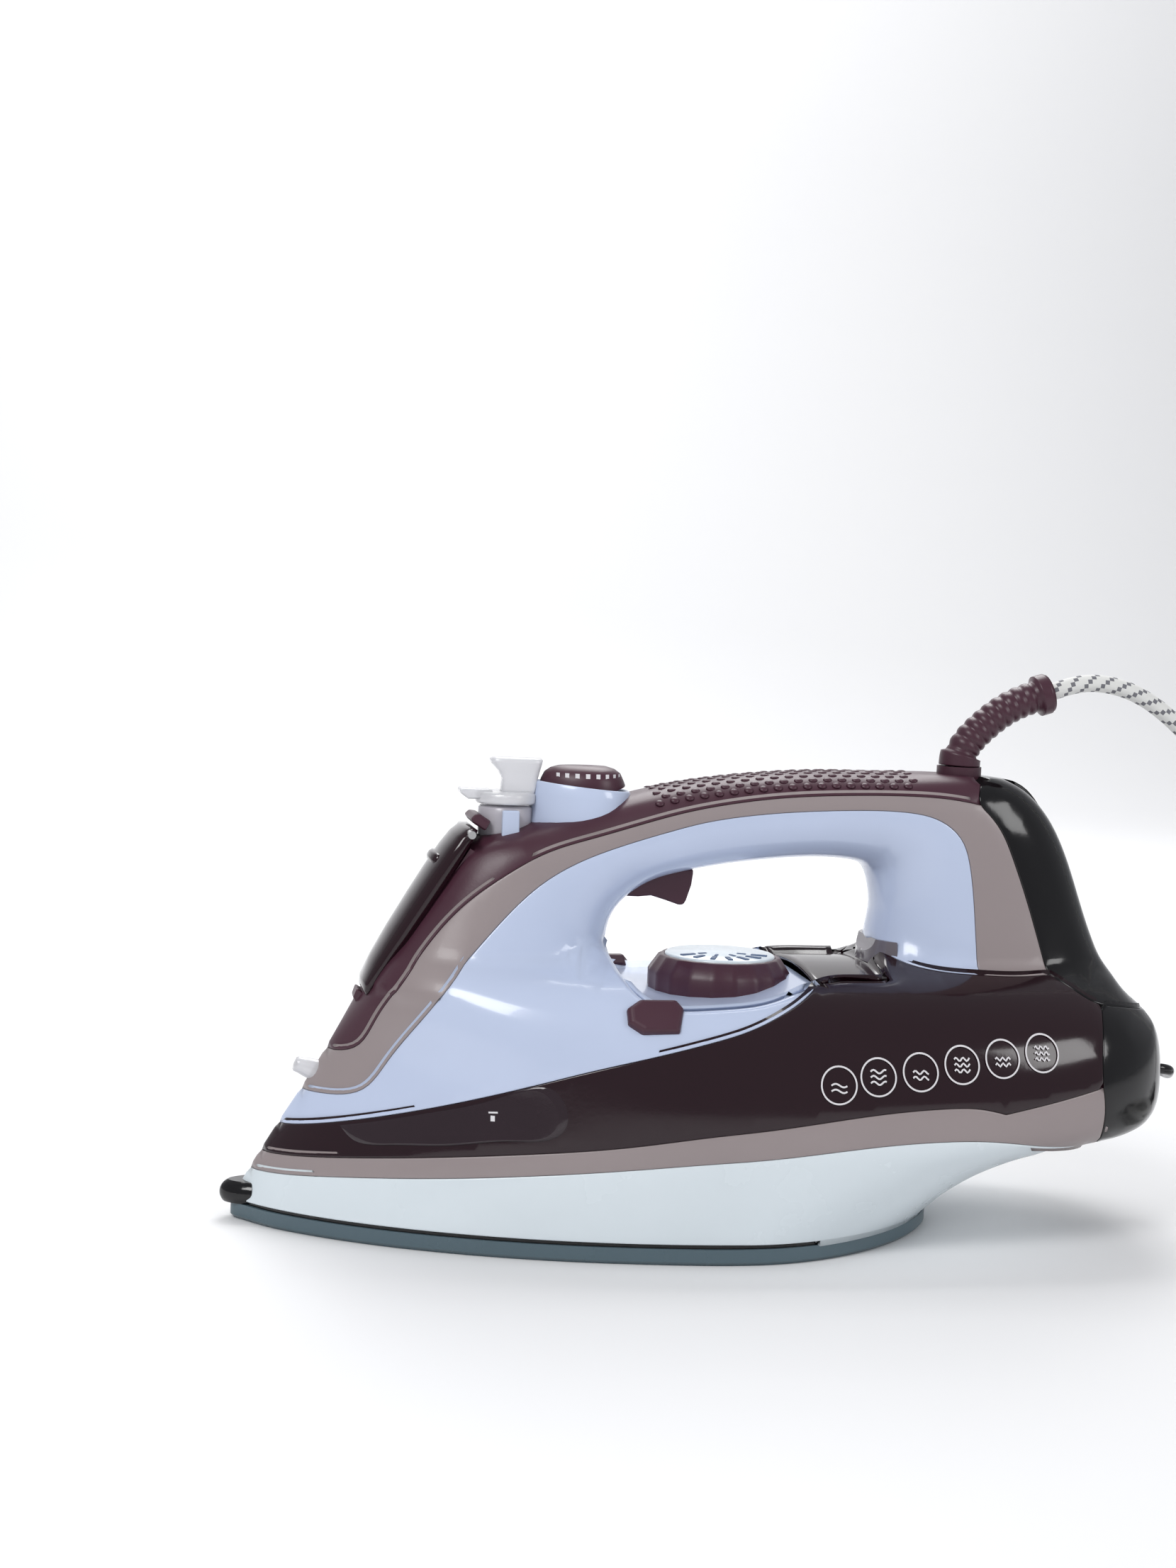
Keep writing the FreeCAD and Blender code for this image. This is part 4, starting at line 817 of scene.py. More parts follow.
    def soften(self, near: np.ndarray, faces: list, plane: np.ndarray) -> np.ndarray:
        """Draws the surface in along its borders, so that each edge is rounded.

        Args:
            near: the near half's points.
            faces: its triangles.
            plane: the points on the centre plane.

        Returns:
            The moved points.
        """
        corners = np.array(faces)
        a, b, c = near[corners[:, 0]], near[corners[:, 1]], near[corners[:, 2]]
        facing = np.cross(b - a, c - a)
        facing *= np.where(facing[:, 1] > 0, -1.0, 1.0)[:, None]
        normals = np.zeros_like(near)
        for column in range(3):
            np.add.at(normals, corners[:, column], facing)
        normals[np.abs(near[:, 1]) < 1e-9, 1] = 0.0
        normals /= np.linalg.norm(normals, axis=1)[:, None] + 1e-12
        sunk = np.zeros(len(near))
        for kind, radius in ((Edge.SEAM, self.seam_round), (Edge.RIM, self.rim_round)):
            for line, edge in self.borders:
                if edge is kind:
                    depth = np.clip(radius - away(plane, resampled(line, self.step)), 0, radius)
                    limit = np.clip(-near[:, 1] / (2 * radius), 0, 1) if kind is Edge.RIM else 1.0
                    sunk = np.maximum(sunk, limit * (radius - np.sqrt(np.maximum(radius**2 - depth**2, 0))))
        moved = near - normals * sunk[:, None]
        moved[:, 1] = np.minimum(moved[:, 1], 0.0)
        moved[np.abs(near[:, 1]) < 1e-9, 1] = 0.0
        return moved

    def deck(self, near: np.ndarray, place: dict, kinds: list, start: int) -> tuple[list, list]:
        """Bridges a rim from the near side to the far side with a crowned deck.

        Args:
            near: the near half's points.
            place: where each border corner is among them.
            kinds: each border corner's edge kind.
            start: index of the first new point.

        Returns:
            The new points and faces.
        """
        if Edge.RIM not in kinds:
            return [], []
        first = next(i for i, kind in enumerate(kinds) if kind is Edge.RIM and kinds[i - 1] is not Edge.RIM)
        chain = [first]
        while kinds[chain[-1] % len(kinds)] is Edge.RIM:
            chain.append((chain[-1] + 1) % len(kinds))
        columns = 15
        points = []
        for index in chain:
            x, y, z = near[place[index]]
            for column in range(columns):
                share = math.cos(math.pi * column / (columns - 1))
                points.append((x, y * share, z + self.deck_crown * abs(y) * (1 - share**2)))
        faces = grid_faces(len(chain), columns, closed=False, start=start)
        rise = 0.0
        for face in faces:
            corner, along, over = (np.array(points[i - start]) for i in face[:3])
            rise += np.cross(along - corner, over - corner)[2]
        return points, faces if rise > 0 else [face[::-1] for face in faces]


def shell_piece(name: str, points: list, faces: list, finish: Finish) -> bpy.types.Object:
    """Makes a shell whose faces already point outwards, carried by the iron.

    Args:
        name: the piece's name.
        points: corner points in millimetres.
        faces: corner indices of each face.
        finish: the surface finish.

    Returns:
        The new object.
    """
    data = bpy.data.meshes.new(name)
    data.from_pydata([tuple(float(c) * MM for c in p) for p in points], [], faces)
    work = bmesh.new()
    work.from_mesh(data)
    bmesh.ops.remove_doubles(work, verts=work.verts, dist=0.000004)
    bmesh.ops.dissolve_degenerate(work, edges=work.edges, dist=0.000001)
    work.to_mesh(data)
    work.free()
    data.polygons.foreach_set("use_smooth", [True] * len(data.polygons))
    made = bpy.data.objects.new(name, data)
    bpy.context.scene.collection.objects.link(made)
    data.materials.append(finish.material())
    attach(made, "iron")
    LOG.info("%s: %d faces, %s", name, len(data.polygons), finish.name)
    return made


@dataclass
class Casing:
    """The outer shells and the seams between them."""

    def __post_init__(self) -> None:
        """Draws the seams in the order that they climb."""
        self.skirt = spline(
            [
                (-160, 13.5), (-132, 16), (-114, 18.3), (-87, 21.4), (-61, 24.4), (-34, 27.5),
                (-10, 30.1), (11, 31.9), (41, 35.4), (62, 36.7), (78, 36.2), (95, 33.9), (112, 31.8),
                (130, 30),
            ],
            160,
        )
        self.band = spline(
            [
                (-160, 19), (-136, 20.7), (-114, 23.7), (-87, 27.4), (-61, 30.7), (-34, 34.2),
                (-10, 38), (10, 40.5), (41, 44.9), (60, 46.5), (72, 46.3), (80, 44.6),
            ],
            160,
        )
        self.tail = spline(
            [
                (80, 44.6), (96, 47.7), (113, 51.3), (125, 54),
            ],
            30,
        )
        self.tank = spline(
            [
                (-150, 25.5), (-131, 29.3), (-105, 36.2), (-88, 41.3), (-61, 50.1), (-44, 55.6),
                (-25, 60.6), (-9, 64.6), (3, 68), (15, 73), (24, 78), (30.5, 83.6), (34, 88),
            ],
            160,
        )
        self.blue = spline(
            [
                (-135, 38.8), (-122, 40.0), (-108, 43.4), (-101, 52.5), (-92, 66), (-83, 78),
                (-74, 88.5), (-59, 104), (-50, 110.2), (-40, 114.9), (-17, 122.6), (-6, 125.6),
                (15, 128.8), (37, 130.3), (59, 130.1), (68, 127.8), (74.5, 122.5), (77.6, 114),
                (79.6, 96), (80.4, 78),
            ],
            200,
        )
        self.grip = spline(
            [
                (-126, 51.6), (-117, 52.4), (-109.5, 55.4), (-104, 65), (-96, 78), (-87, 90.6),
                (-78, 100.3), (-68, 107.9), (-55, 115.3), (-40, 120.2), (-17, 127.2), (-6, 129.9),
                (15, 133.3), (37, 134.9), (59, 135.3), (72, 134.6), (82, 133),
            ],
            200,
        )
        self.black = spline(
            [
                (83.6, 148), (82.2, 140), (80.4, 134.4), (83.6, 130.2), (88, 124.4), (91.8, 116),
                (97, 102), (103, 82),
            ],
            100,
        )
        self.strut = spline(
            [
                (44, 93), (48.5, 89.6), (54, 85.8), (65, 82.8), (79, 81.9), (91, 81.6), (103, 82),
            ],
            60,
        )
        self.cover = spline(
            [
                (103, 82), (108.5, 78.4), (114, 75.2), (122, 73.6), (132, 72), (146, 69),
            ],
            60,
        )
        self.heel = spline(
            [
                (114, 22), (113.8, 36), (114, 44), (113, 52), (113, 60), (114.5, 68), (118.5, 80),
            ],
            60,
        )
        self.deck_line = spline(
            [
                (55, 81.8), (44, 81.4), (34, 81.3), (26, 80.3), (16, 77.4), (7, 75.2), (-7, 73.9),
                (-18, 73.6), (-26.5, 75.4), (-31, 79.4), (-33, 84.5), (-33.5, 91),
            ],
            120,
        )
        self.under_grip = HULL.stations[:, 2:4]

    def shells(self) -> list[Shell]:
        """Returns every shell with its borders in order."""
        out, back = HULL.outline, HULL.outline[::-1]
        foot = np.array([out[0], out[-1]])
        inner, deck = self.under_grip, self.deck_line
        seam, rim, centre = Edge.SEAM, Edge.RIM, Edge.CENTRE
        return [
            Shell("skirt_shell", COOL_WHITE, [
                (foot, seam), (until(back, self.heel), centre), (between(self.heel, back, self.skirt), seam),
                (between(self.skirt[::-1], self.heel, out), seam), (until(out, self.skirt)[::-1], centre),
            ], ("lower_skirt",)),
            Shell("band_shell", WARM_GREY, [
                (between(self.skirt, out, self.heel), seam),
                (between(self.heel, self.skirt, self.tail), seam),
                (after(self.tail[::-1], self.heel), seam), (until(self.band[::-1], out), seam),
                (between(out, self.skirt, self.band)[::-1], centre),
            ], ("lower_band",)),
            Shell("tank_shell", PLUM_GLOSS, [
                (after(self.band, out), seam), (until(self.tail, self.heel), seam),
                (between(self.heel, self.tail, self.cover), seam), (until(self.cover, self.heel)[::-1], seam),
                (until(self.strut[::-1], inner), seam), (between(inner, self.strut, deck), rim),
                (between(deck, inner[::-1], self.tank), rim), (between(self.tank[::-1], deck, out), seam),
                (between(out, self.band, self.tank)[::-1], centre),
            ], ("water_tank",), deck_crown=0.11),
            Shell("main_body_shell", PALE_BLUE, [
                (between(self.tank, out, deck), seam), (between(deck, self.tank, inner), rim),
                (between(inner, deck, self.strut), centre), (between(self.strut, inner, self.blue), seam),
                (between(self.blue[::-1], self.strut, out), seam),
                (between(out, self.tank, self.blue)[::-1], centre),
            ], ("main_shell",)),
            Shell("trim_shell", WARM_GREY, [
                (between(self.blue, out, self.strut), seam), (after(self.strut, self.blue), seam),
                (until(self.black[::-1], self.grip), seam), (between(self.grip[::-1], self.black, out), seam),
                (between(out, self.blue, self.grip)[::-1], centre),
            ], ("upper_trim",)),
            Shell("grip_shell", PLUM, [
                (between(self.grip, out, self.black), seam),
                (between(self.black[::-1], self.grip, out), seam),
                (between(back, self.black, self.grip), centre),
            ], ("grip_cover",)),
            Shell("rear_shell", BLACK, [
                (after(self.black, out), seam), (until(self.cover, out), seam),
                (between(back, self.cover, self.black), centre),
            ], ("rear_cover",)),
            Shell("heel_shell", BLACK, [
                (between(self.heel, back, self.cover), seam), (between(self.cover, self.heel, out), seam),
                (between(out, self.cover, self.heel), centre),
            ], ("heel_stand",)),
        ]

    def build(self) -> None:
        """Builds every shell."""
        for shell in self.shells():
            shell.build()


# ---------------------------------------------------------------- studio
@dataclass
class Studio:
    """A pale floor, soft lights and the camera."""

    stand: Point3 = (-0.15483, -0.66219, 0.18596)
    yaw: float = 9.83
    pitch: float = 4.34
    roll: float = 2.38
    lens: float = 50.21

    def camera(self) -> None:
        """Sets the camera by its stand, yaw, pitch and roll."""
        yaw, pitch, roll = (math.radians(angle) for angle in (self.yaw, self.pitch, self.roll))
        ahead = Vector((math.sin(yaw) * math.cos(pitch), math.cos(yaw) * math.cos(pitch), -math.sin(pitch)))
        level = Vector((math.cos(yaw), -math.sin(yaw), 0))
        above = level.cross(ahead)
        right = level * math.cos(roll) + above * math.sin(roll)
        up = above * math.cos(roll) - level * math.sin(roll)
        data = bpy.data.cameras.new("view")
        data.lens = self.lens
        data.clip_start = 0.01
        made = bpy.data.objects.new("view", data)
        bpy.context.scene.collection.objects.link(made)
        turned = Matrix((right, up, -ahead)).transposed()
        made.matrix_world = Matrix.Translation(Vector(self.stand)) @ turned.to_4x4()
        bpy.context.scene.camera = made

    def lamp(self, name: str, place: Point3, size: float, power: float, aim: Point3 = (0, 0, 0.06)) -> None:
        """Hangs a square soft light that faces a point.

        Args:
            name: the light's name.
            place: where it hangs, in metres.
            size: its side, in metres.
            power: its power, in watts.
            aim: the point that it faces.
        """
        data = bpy.data.lights.new(name, "AREA")
        data.size = size
        data.energy = power
        made = bpy.data.objects.new(name, data)
        made.location = place
        made.rotation_euler = (Vector(aim) - Vector(place)).to_track_quat("-Z", "Y").to_euler()
        bpy.context.scene.collection.objects.link(made)

    def build(self) -> None:
        """Builds the floor, the lights and the camera."""
        wide, deep, rise, bend = 4.0, 2.2, 3.0, 0.8
        profile = [(-wide, 0.0), (deep - bend, 0.0)]
        for step in range(1, 13):
            angle = math.pi / 2 * step / 12
            profile.append((deep - bend + bend * math.sin(angle), bend * (1 - math.cos(angle))))
        profile.append((deep, rise))
        points = [(x, y, z) for y, z in profile for x in (-wide, wide)]
        data = bpy.data.meshes.new("floor")
        strips = [(2 * i, 2 * i + 1, 2 * i + 3, 2 * i + 2) for i in range(len(profile) - 1)]
        data.from_pydata(points, [], strips)
        data.polygons.foreach_set("use_smooth", [True] * len(data.polygons))
        floor = bpy.data.objects.new("floor", data)
        bpy.context.scene.collection.objects.link(floor)
        paint = bpy.data.materials.new("floor_paint")
        paint.use_nodes = True
        paint.node_tree.nodes["Principled BSDF"].inputs["Base Color"].default_value = (0.86, 0.86, 0.865, 1)
        paint.node_tree.nodes["Principled BSDF"].inputs["Roughness"].default_value = 0.6
        data.materials.append(paint)
        world = bpy.data.worlds.new("studio")
        world.use_nodes = True
        world.node_tree.nodes["Background"].inputs["Color"].default_value = (0.93, 0.95, 1.0, 1)
        world.node_tree.nodes["Background"].inputs["Strength"].default_value = 0.38
        bpy.context.scene.world = world
        self.lamp("key", (-0.7, -0.8, 1.1), 0.55, 9.5)
        self.lamp("fill", (1.0, -0.9, 0.8), 0.5, 4.2)
        self.lamp("rim", (0.2, 0.9, 1.1), 0.7, 7.0)
        self.lamp("backdrop_wash", (0.0, 0.9, 1.8), 1.2, 24.0, (0.0, 2.2, 0.4))
        bpy.context.scene.view_settings.view_transform = "Standard"
        self.camera()


# ---------------------------------------------------------------- control shapes
def slab(outline: list, half: float, middle: float = 0.0) -> tuple[list, list]:
    """A side outline of (x, z) points, given thickness across the iron.

    Args:
        outline: the corner points.
        half: half the thickness.
        middle: where its centre plane lies.

    Returns:
        The points and faces.
    """
    count = len(outline)
    points = [(x, middle - half, z) for x, z in outline] + [(x, middle + half, z) for x, z in outline]
    faces = [tuple(range(count)), tuple(range(count, 2 * count))]
    faces += [(i, (i + 1) % count, count + (i + 1) % count, count + i) for i in range(count)]
    return points, faces


def leaf(middle: float, long: float, half: float, count: int = 20) -> list:
    """The near edge of a leaf plan outline: pointed to the front, round to the rear.

    Args:
        middle: its middle along the iron.
        long: half its length.
        half: half its width.
        count: points along it.

    Returns:
        The (x, y) points from front to rear, with y at or below zero.
    """
    points = []
    widest = 0.2
    for step in range(count):
        share = step / (count - 1)
        x = -math.cos(math.pi * share)
        reach, power = (0.8, 0.5) if x > widest else (1.2, 0.62)
        wide = (1 - ((x - widest) / reach) ** 2) ** power if abs(x) < 1 else 0.0
        points.append((middle + long * x, -half * max(wide, 0.0)))
    return points


def soft_box(across: float, up: float, count: int, power: float) -> list[Point2]:
    """A closed outline between an oval and a box.

    Args:
        across: half its width.
        up: half its height.
        count: points round it.
        power: 1 for an oval; the smaller, the squarer.

    Returns:
        The (across, up) points about its middle.
    """
    points = []
    for step in range(count):
        angle = 2 * math.pi * step / count
        c, s = math.cos(angle), math.sin(angle)
        points.append((across * math.copysign(abs(c) ** power, c), up * math.copysign(abs(s) ** power, s)))
    return points


def box_sides(start: int) -> list:
    """The four side faces between two rings of four corners.

    Args:
        start: index of the first corner.

    Returns:
        The faces' corner indices.
    """
    turns = [(i, (i + 1) % 4) for i in range(4)]
    return [(start + i, start + after_i, start + 4 + after_i, start + 4 + i) for i, after_i in turns]


def tube_rings(path: np.ndarray, radii: list, sides: int = 24) -> list:
    """Rings square to a path, without twist.

    Args:
        path: the centre points.
        radii: the radius at each.
        sides: points round each ring.

    Returns:
        The rings.
    """
    heading = np.gradient(path, axis=0)
    heading /= np.linalg.norm(heading, axis=1)[:, None]
    across = np.cross(heading[0], (0.0, 1.0, 0.0) if abs(heading[0][1]) < 0.9 else (1.0, 0.0, 0.0))
    rings = []
    for point, ahead, radius in zip(path, heading, radii):
        across = across - ahead * (across @ ahead)
        across /= np.linalg.norm(across)
        other = np.cross(ahead, across)
        angles = [2 * math.pi * k / sides for k in range(sides)]
        rings.append([tuple(point + radius * (math.cos(a) * across + math.sin(a) * other)) for a in angles])
    return rings


def on_side(x: float, z: float, lift: float = 0.42) -> Point3:
    """A point on the near side's surface, a little proud of it.

    Args:
        x: its place along the iron.
        z: its height.
        lift: how far proud it stands.

    Returns:
        The point.
    """
    depth = float(HULL.depth(np.array([x]), np.array([z]))[0])
    return (x, -depth - lift, z)


@dataclass
class Dial:
    """The thermostat dial: a faceted rim round a pale disc with a temperature scale."""

    centre: Point3 = (4.0, 0.0, 71.0)
    radius: float = 22.5
    rim_radius: float = 18.4
    height: float = 11.5
    facets: int = 20
    facet_depth: float = 0.45
    ticks: int = 7
    first_tick: int = 205
    tick_sweep: int = 130
    long_tick: Point3 = (10.0, 15.0, 0.7)
    short_tick: Point3 = (5.5, 8.3, 0.45)

    def build(self) -> None:
        """Builds the rim, the disc and its marks."""
        r, rim, high = self.radius, self.rim_radius, self.height
        profile = [
            (0.1, 0.1), (r - 0.8, 0.1), (r, 0.8), (r, high - 5.2), (r - 1.0, high - 3.6),
            (rim + 0.9, high - 0.4), (rim, high), (rim - 0.7, high), (rim - 1.0, high - 0.4),
            (rim - 1.0, high - 1.2), (0.1, high - 1.2),
        ]
        rings = lathe(self.centre, profile, 120, self.facets, self.facet_depth)
        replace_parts(crisp(loft("dial_rim", rings, PLUM, "dial"), 0.25), "dial")
        top = [
            (0.1, high - 1.4), (rim - 1.2, high - 1.4), (rim - 1.2, high + 0.2), (rim - 1.7, high + 0.6),
            (0.1, high + 0.9),
        ]
        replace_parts(loft("dial_scale", lathe(self.centre, top, 96), COOL_WHITE, "dial"), "dial_disc")
        self.marks()

    def marks(self) -> None:
        """Builds the temperature scale: long ticks, with a short one inside every other."""
        points, faces = [], []
        for tick in range(self.ticks):
            angle = math.radians(self.first_tick + self.tick_sweep * tick / (self.ticks - 1))
            along = Vector((math.cos(angle), math.sin(angle), 0))
            side = Vector((-math.sin(angle), math.cos(angle), 0))
            for near, far, wide in (self.long_tick,) if tick % 2 else (self.long_tick, self.short_tick):
                start = len(points)
                for lift in (self.height + 0.5, self.height + 1.02):
                    for reach, sway in ((near, -wide), (far, -wide), (far, wide), (near, wide)):
                        place = Vector(self.centre) + along * reach + side * sway + Vector((0, 0, lift))
                        points.append(tuple(place))
                faces += [(start + 3, start + 2, start + 1, start), tuple(start + k for k in (4, 5, 6, 7))]
                faces += box_sides(start)
        mesh_piece("dial_marks", points, faces, DARK_PRINT, "dial", smooth=False)


@dataclass
class FillerLid:
    """The water filler's lid on the nose slope, its thumb catch and its hinge cover."""

    foot: Point3 = (-106.5, 0.0, 70.0)
    slope: Point3 = (0.515, 0.0, 0.857)
    out: Point3 = (-0.857, 0.0, 0.515)

    def place(self, out: float, side: float, along: float) -> Point3:
        """A point beside the slope's line.

        Args:
            out: its distance out of the slope.
            side: its distance to the side.
            along: its distance up the slope.

        Returns:
            The point.
        """
        across = (0.0, side, 0.0)
        axes = zip(self.foot, self.out, self.slope, across)
        return tuple(foot + out * normal + along * slope + sideways for foot, normal, slope, sideways in axes)

    def slice(self, along: float, half: float, crown: float, edge: float) -> list:
        """A closed ring across the lid: a dome above and a flat underside.

        Args:
            along: where it lies, up the slope.
            half: half its width.
            crown: the dome's height.
            edge: the rim's height.

        Returns:
            The ring's points.
        """
        turns = [math.pi * k / 16 for k in range(17)]
        top = [(-half * math.cos(t), edge + (crown - edge) * math.sin(t) ** 0.8) for t in turns]
        under = [(half - 0.6 - (2 * half - 1.2) * k / 8, -1.0) for k in range(9)]
        return [self.place(out, side, along) for side, out in top + under]

    def block(self, name: str, sections: tuple, rounding: float) -> None:
        """Builds a small four-cornered block on the slope.

        Args:
            name: the piece's name.
            sections: for each ring its place up the slope and its (side, out) corners.
            rounding: the rounding of its edges.
        """
        rings = [[self.place(out, side, along) for side, out in ring] for along, ring in sections]
        crisp(loft(name, rings, PLUM, "iron"), rounding)

    def build(self) -> None:
        """Builds the lid, its catch and the hinge cover."""
        lid = (
            (0.0, 9.8, 1.2, 0.2), (0.8, 10.6, 2.6, 0.6), (3.0, 11.3, 3.8, 0.9), (10, 12.2, 4.7, 1.0),
            (20, 13.1, 5.2, 1.0), (32, 13.7, 5.4, 1.0), (42, 14.0, 5.4, 1.0), (50, 13.9, 5.1, 1.0),
            (55, 13.4, 4.5, 0.9), (58, 12.4, 3.4, 0.7), (59.2, 11.4, 2.2, 0.4), (59.8, 10.4, 1.0, 0.0),
        )
        cover = loft("filler_cover", [self.slice(*row) for row in lid], PLUM_GLOSS, "lid")
        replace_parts(cover, "filler_lid")
        ridge = ((44.0, 8.0, 6.0, 4.0), (45.0, 8.6, 6.6, 4.0), (46.4, 8.6, 6.6, 4.0), (47.4, 8.0, 6.0, 4.0))
        loft("filler_cover_ridge", [self.slice(*row) for row in ridge], PLUM_GLOSS, "lid")
        self.block("filler_catch", (
            (-4.2, [(-3.6, 0), (3.6, 0), (3.2, 1.2), (-3.2, 1.2)]),
            (-3.4, [(-4.6, -1), (4.6, -1), (4, 2.4), (-4, 2.4)]),
            (-0.4, [(-5.4, -1), (5.4, -1), (4.6, 3.0), (-4.6, 3.0)]),
        ), 0.5)
        self.block("lid_hinge_cover", (
            (60.8, [(-9.5, -3), (9.5, -3), (9.0, 1.0), (-9.0, 1.0)]),
            (61.6, [(-10, -3), (10, -3), (9.0, 2.6), (-9.0, 2.6)]),
            (63.4, [(-9.5, -3), (9.5, -3), (8.4, 2.2), (-8.4, 2.2)]),
            (64.2, [(-8.5, -3), (8.5, -3), (7.4, 0.6), (-7.4, 0.6)]),
        ), 0.6)


@dataclass
class SteamSelector:
    """The steam selector: a smoky drum with an index, under a clear turning knob."""

    centre: Point3 = (-65.5, 0.0, 0.0)
    drum_radius: float = 8.3
    drum_top: float = 127.9
    knob_foot: float = 128.5

    def build(self) -> None:
        """Builds the drum, its index and the knob."""
        r, top, low = self.drum_radius, self.drum_top, self.knob_foot
        drum = [(0.1, 113.0), (r, 113.0), (r, top - 0.8), (r - 0.7, top), (0.1, top)]
        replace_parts(loft("selector_drum", lathe(self.centre, drum, 72), SMOKE, "iron"), "selector_base")
        mark = [(-67.6, 118.6), (-62.4, 118.6), (-62.2, 119.4), (-62.4, 127), (-67.6, 127)]
        points, faces = slab(mark, 1.2, -9.3)
        made = crisp(mesh_piece("selector_mark", points, faces, PALE_BLUE, "iron", False), 0.5)
        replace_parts(made, "selector_index")
        disc = [
            (0.1, low), (r + 0.6, low), (r + 1.0, low + 0.5), (r + 1.0, low + 2.8), (r + 0.2, low + 3.6),
            (0.1, low + 3.6),
        ]
        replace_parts(loft("selector_disc", lathe(self.centre, disc, 72), FROST, "selector"), "steam_selector")
        fin = (
            (3.0, -67.4, -57.0, 4.0), (4.5, -67.2, -56.4, 3.8), (7.5, -67.0, -56.0, 3.5),
            (10.0, -68.2, -55.4, 3.9), (12.2, -70.4, -54.8, 4.2), (13.4, -70.8, -54.6, 4.2),
            (14.0, -70.0, -55.2, 3.4),
        )
        rings = []
        for rise, front, back, half in fin:
            middle = (front + back) / 2
            outline = soft_box((back - front) / 2, half, 40, 0.5)
            rings.append([(middle + x, y, low + rise) for x, y in outline])
        loft("selector_fin", rings, FROST, "selector")
        lip = [(-80.0, low + 4.4), (-80.0, low + 3.0), (-77.4, low + 1.2), (-70, low + 1.2), (-70, low + 4.2)]
        points, faces = slab(lip, 4.2)
        crisp(mesh_piece("selector_lip", points, faces, FROST, "selector", False), 0.8, 3)


@dataclass
class ButtonPod:
    """The pale pod on the handle with its spray and steam-burst buttons."""

    middle: float = -42.0
    long: float = 15.5
    half: float = 12.5
    button_long: float = 13.4
    button_half: float = 10.2
    split: float = 0.35
    clear_foot: float = 130.8
    clear_rise: float = 0.3

    def ring(self, long: float, half: float, low: float, tilt: float) -> list:
        """A closed leaf ring that falls towards the rear.

        Args:
            long: half its length.
            half: half its width.
            low: its height in the middle.
            tilt: its fall per millimetre.

        Returns:
            The ring's points.
        """
        near = leaf(self.middle, long, half)
        closed = near + [(x, -y) for x, y in reversed(near[1:-1])]
        return [(x, y, low - tilt * (x - self.middle)) for x, y in closed]

    def button(self, name: str, body: str, side: int) -> None:
        """Builds one half of the domed pair.

        Args:
            name: the button's piece.
            body: its moving body.
            side: -1 for the near half, 1 for the far half.
        """
        sections = (
            (130.4, 1.0, 1.0), (133.4, 1.0, 1.0), (136.4, 0.96, 0.95), (138.6, 0.88, 0.84),
            (139.9, 0.74, 0.66), (140.6, 0.56, 0.42), (140.75, 0.40, 0.24),
        )
        foot = sections[0][0]
        rings = []
        for low, share, wide in sections:
            near = leaf(self.middle, self.button_long * share, self.button_half * wide)
            level = []
            for x, _ in near:
                clear = self.clear_foot + self.clear_rise * (x - self.middle)
                level.append(max(low, clear + 0.1 * (low - foot)))
            edge = [(x, side * max(-y, self.split), z) for (x, y), z in zip(near, level)]
            back = [(x, side * self.split, z) for (x, _), z in zip(reversed(near), reversed(level))]
            rings.append(edge + back)
        made = loft(f"{name}_cap", rings, PLUM, body)
        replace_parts(crisp(made, 0.3, 2, 50), name)

    def build(self) -> None:
        """Builds the pod, both buttons and the near button's dashes."""
        sections = (
            (1.4, 0.6, 121.0, 0.0), (0.6, 0.3, 127.5, 0.06), (0.0, 0.0, 131.0, 0.07),
            (-0.4, -0.3, 134.0, 0.09), (-0.9, -0.8, 134.7, 0.09), (-1.5, -1.5, 134.2, 0.09), (-1.6, -1.7, 128.0, 0.0),
        )
        rings = [self.ring(self.long + a, self.half + b, low, tilt) for a, b, low, tilt in sections]
        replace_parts(crisp(loft("pod_body", rings, PALE_BLUE, "iron"), 0.3, 2, 60), "button_pod")
        self.button("spray_button", "spray_button", -1)
        self.button("burst_button", "burst_button", 1)
        points, faces = [], []
        outline = leaf(self.middle, self.button_long * 0.90, self.button_half * 0.885, 60)
        dash = ((-0.25, 137.2), (-0.05, 138.6), (0.4, 138.5), (0.4, 137.2))
        for index in range(14, 50, 5):
            start = len(points)
            for x, y in (outline[index], outline[index + 2]):
                points += [(x, y + sway, z) for sway, z in dash]
            faces += box_sides(start)
            faces += [(start, start + 1, start + 2, start + 3), (start + 4, start + 5, start + 6, start + 7)]
        mesh_piece("spray_marks", points, faces, PRINT, "spray_button", False)


@dataclass
class Trigger:
    """The steam trigger under the handle."""

    half: float = 6.4
    outline: tuple = (
        (-28.8, 106.5), (-29.2, 102.6), (-28, 101.2), (-24, 101.1), (-20, 101.5), (-15.5, 100.2),
        (-11, 98.7), (-9.6, 98.9), (-8.9, 100.2), (-7.4, 105), (-7.0, 108.5), (-7.0, 110.0),
        (-26, 109.5),
    )

    def build(self) -> None:
        """Builds the trigger."""
        points, faces = slab(list(self.outline), self.half)
        made = crisp(mesh_piece("trigger_paddle", points, faces, PLUM, "trigger", False), 1.2, 4, 25)
        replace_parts(made, "steam_trigger")


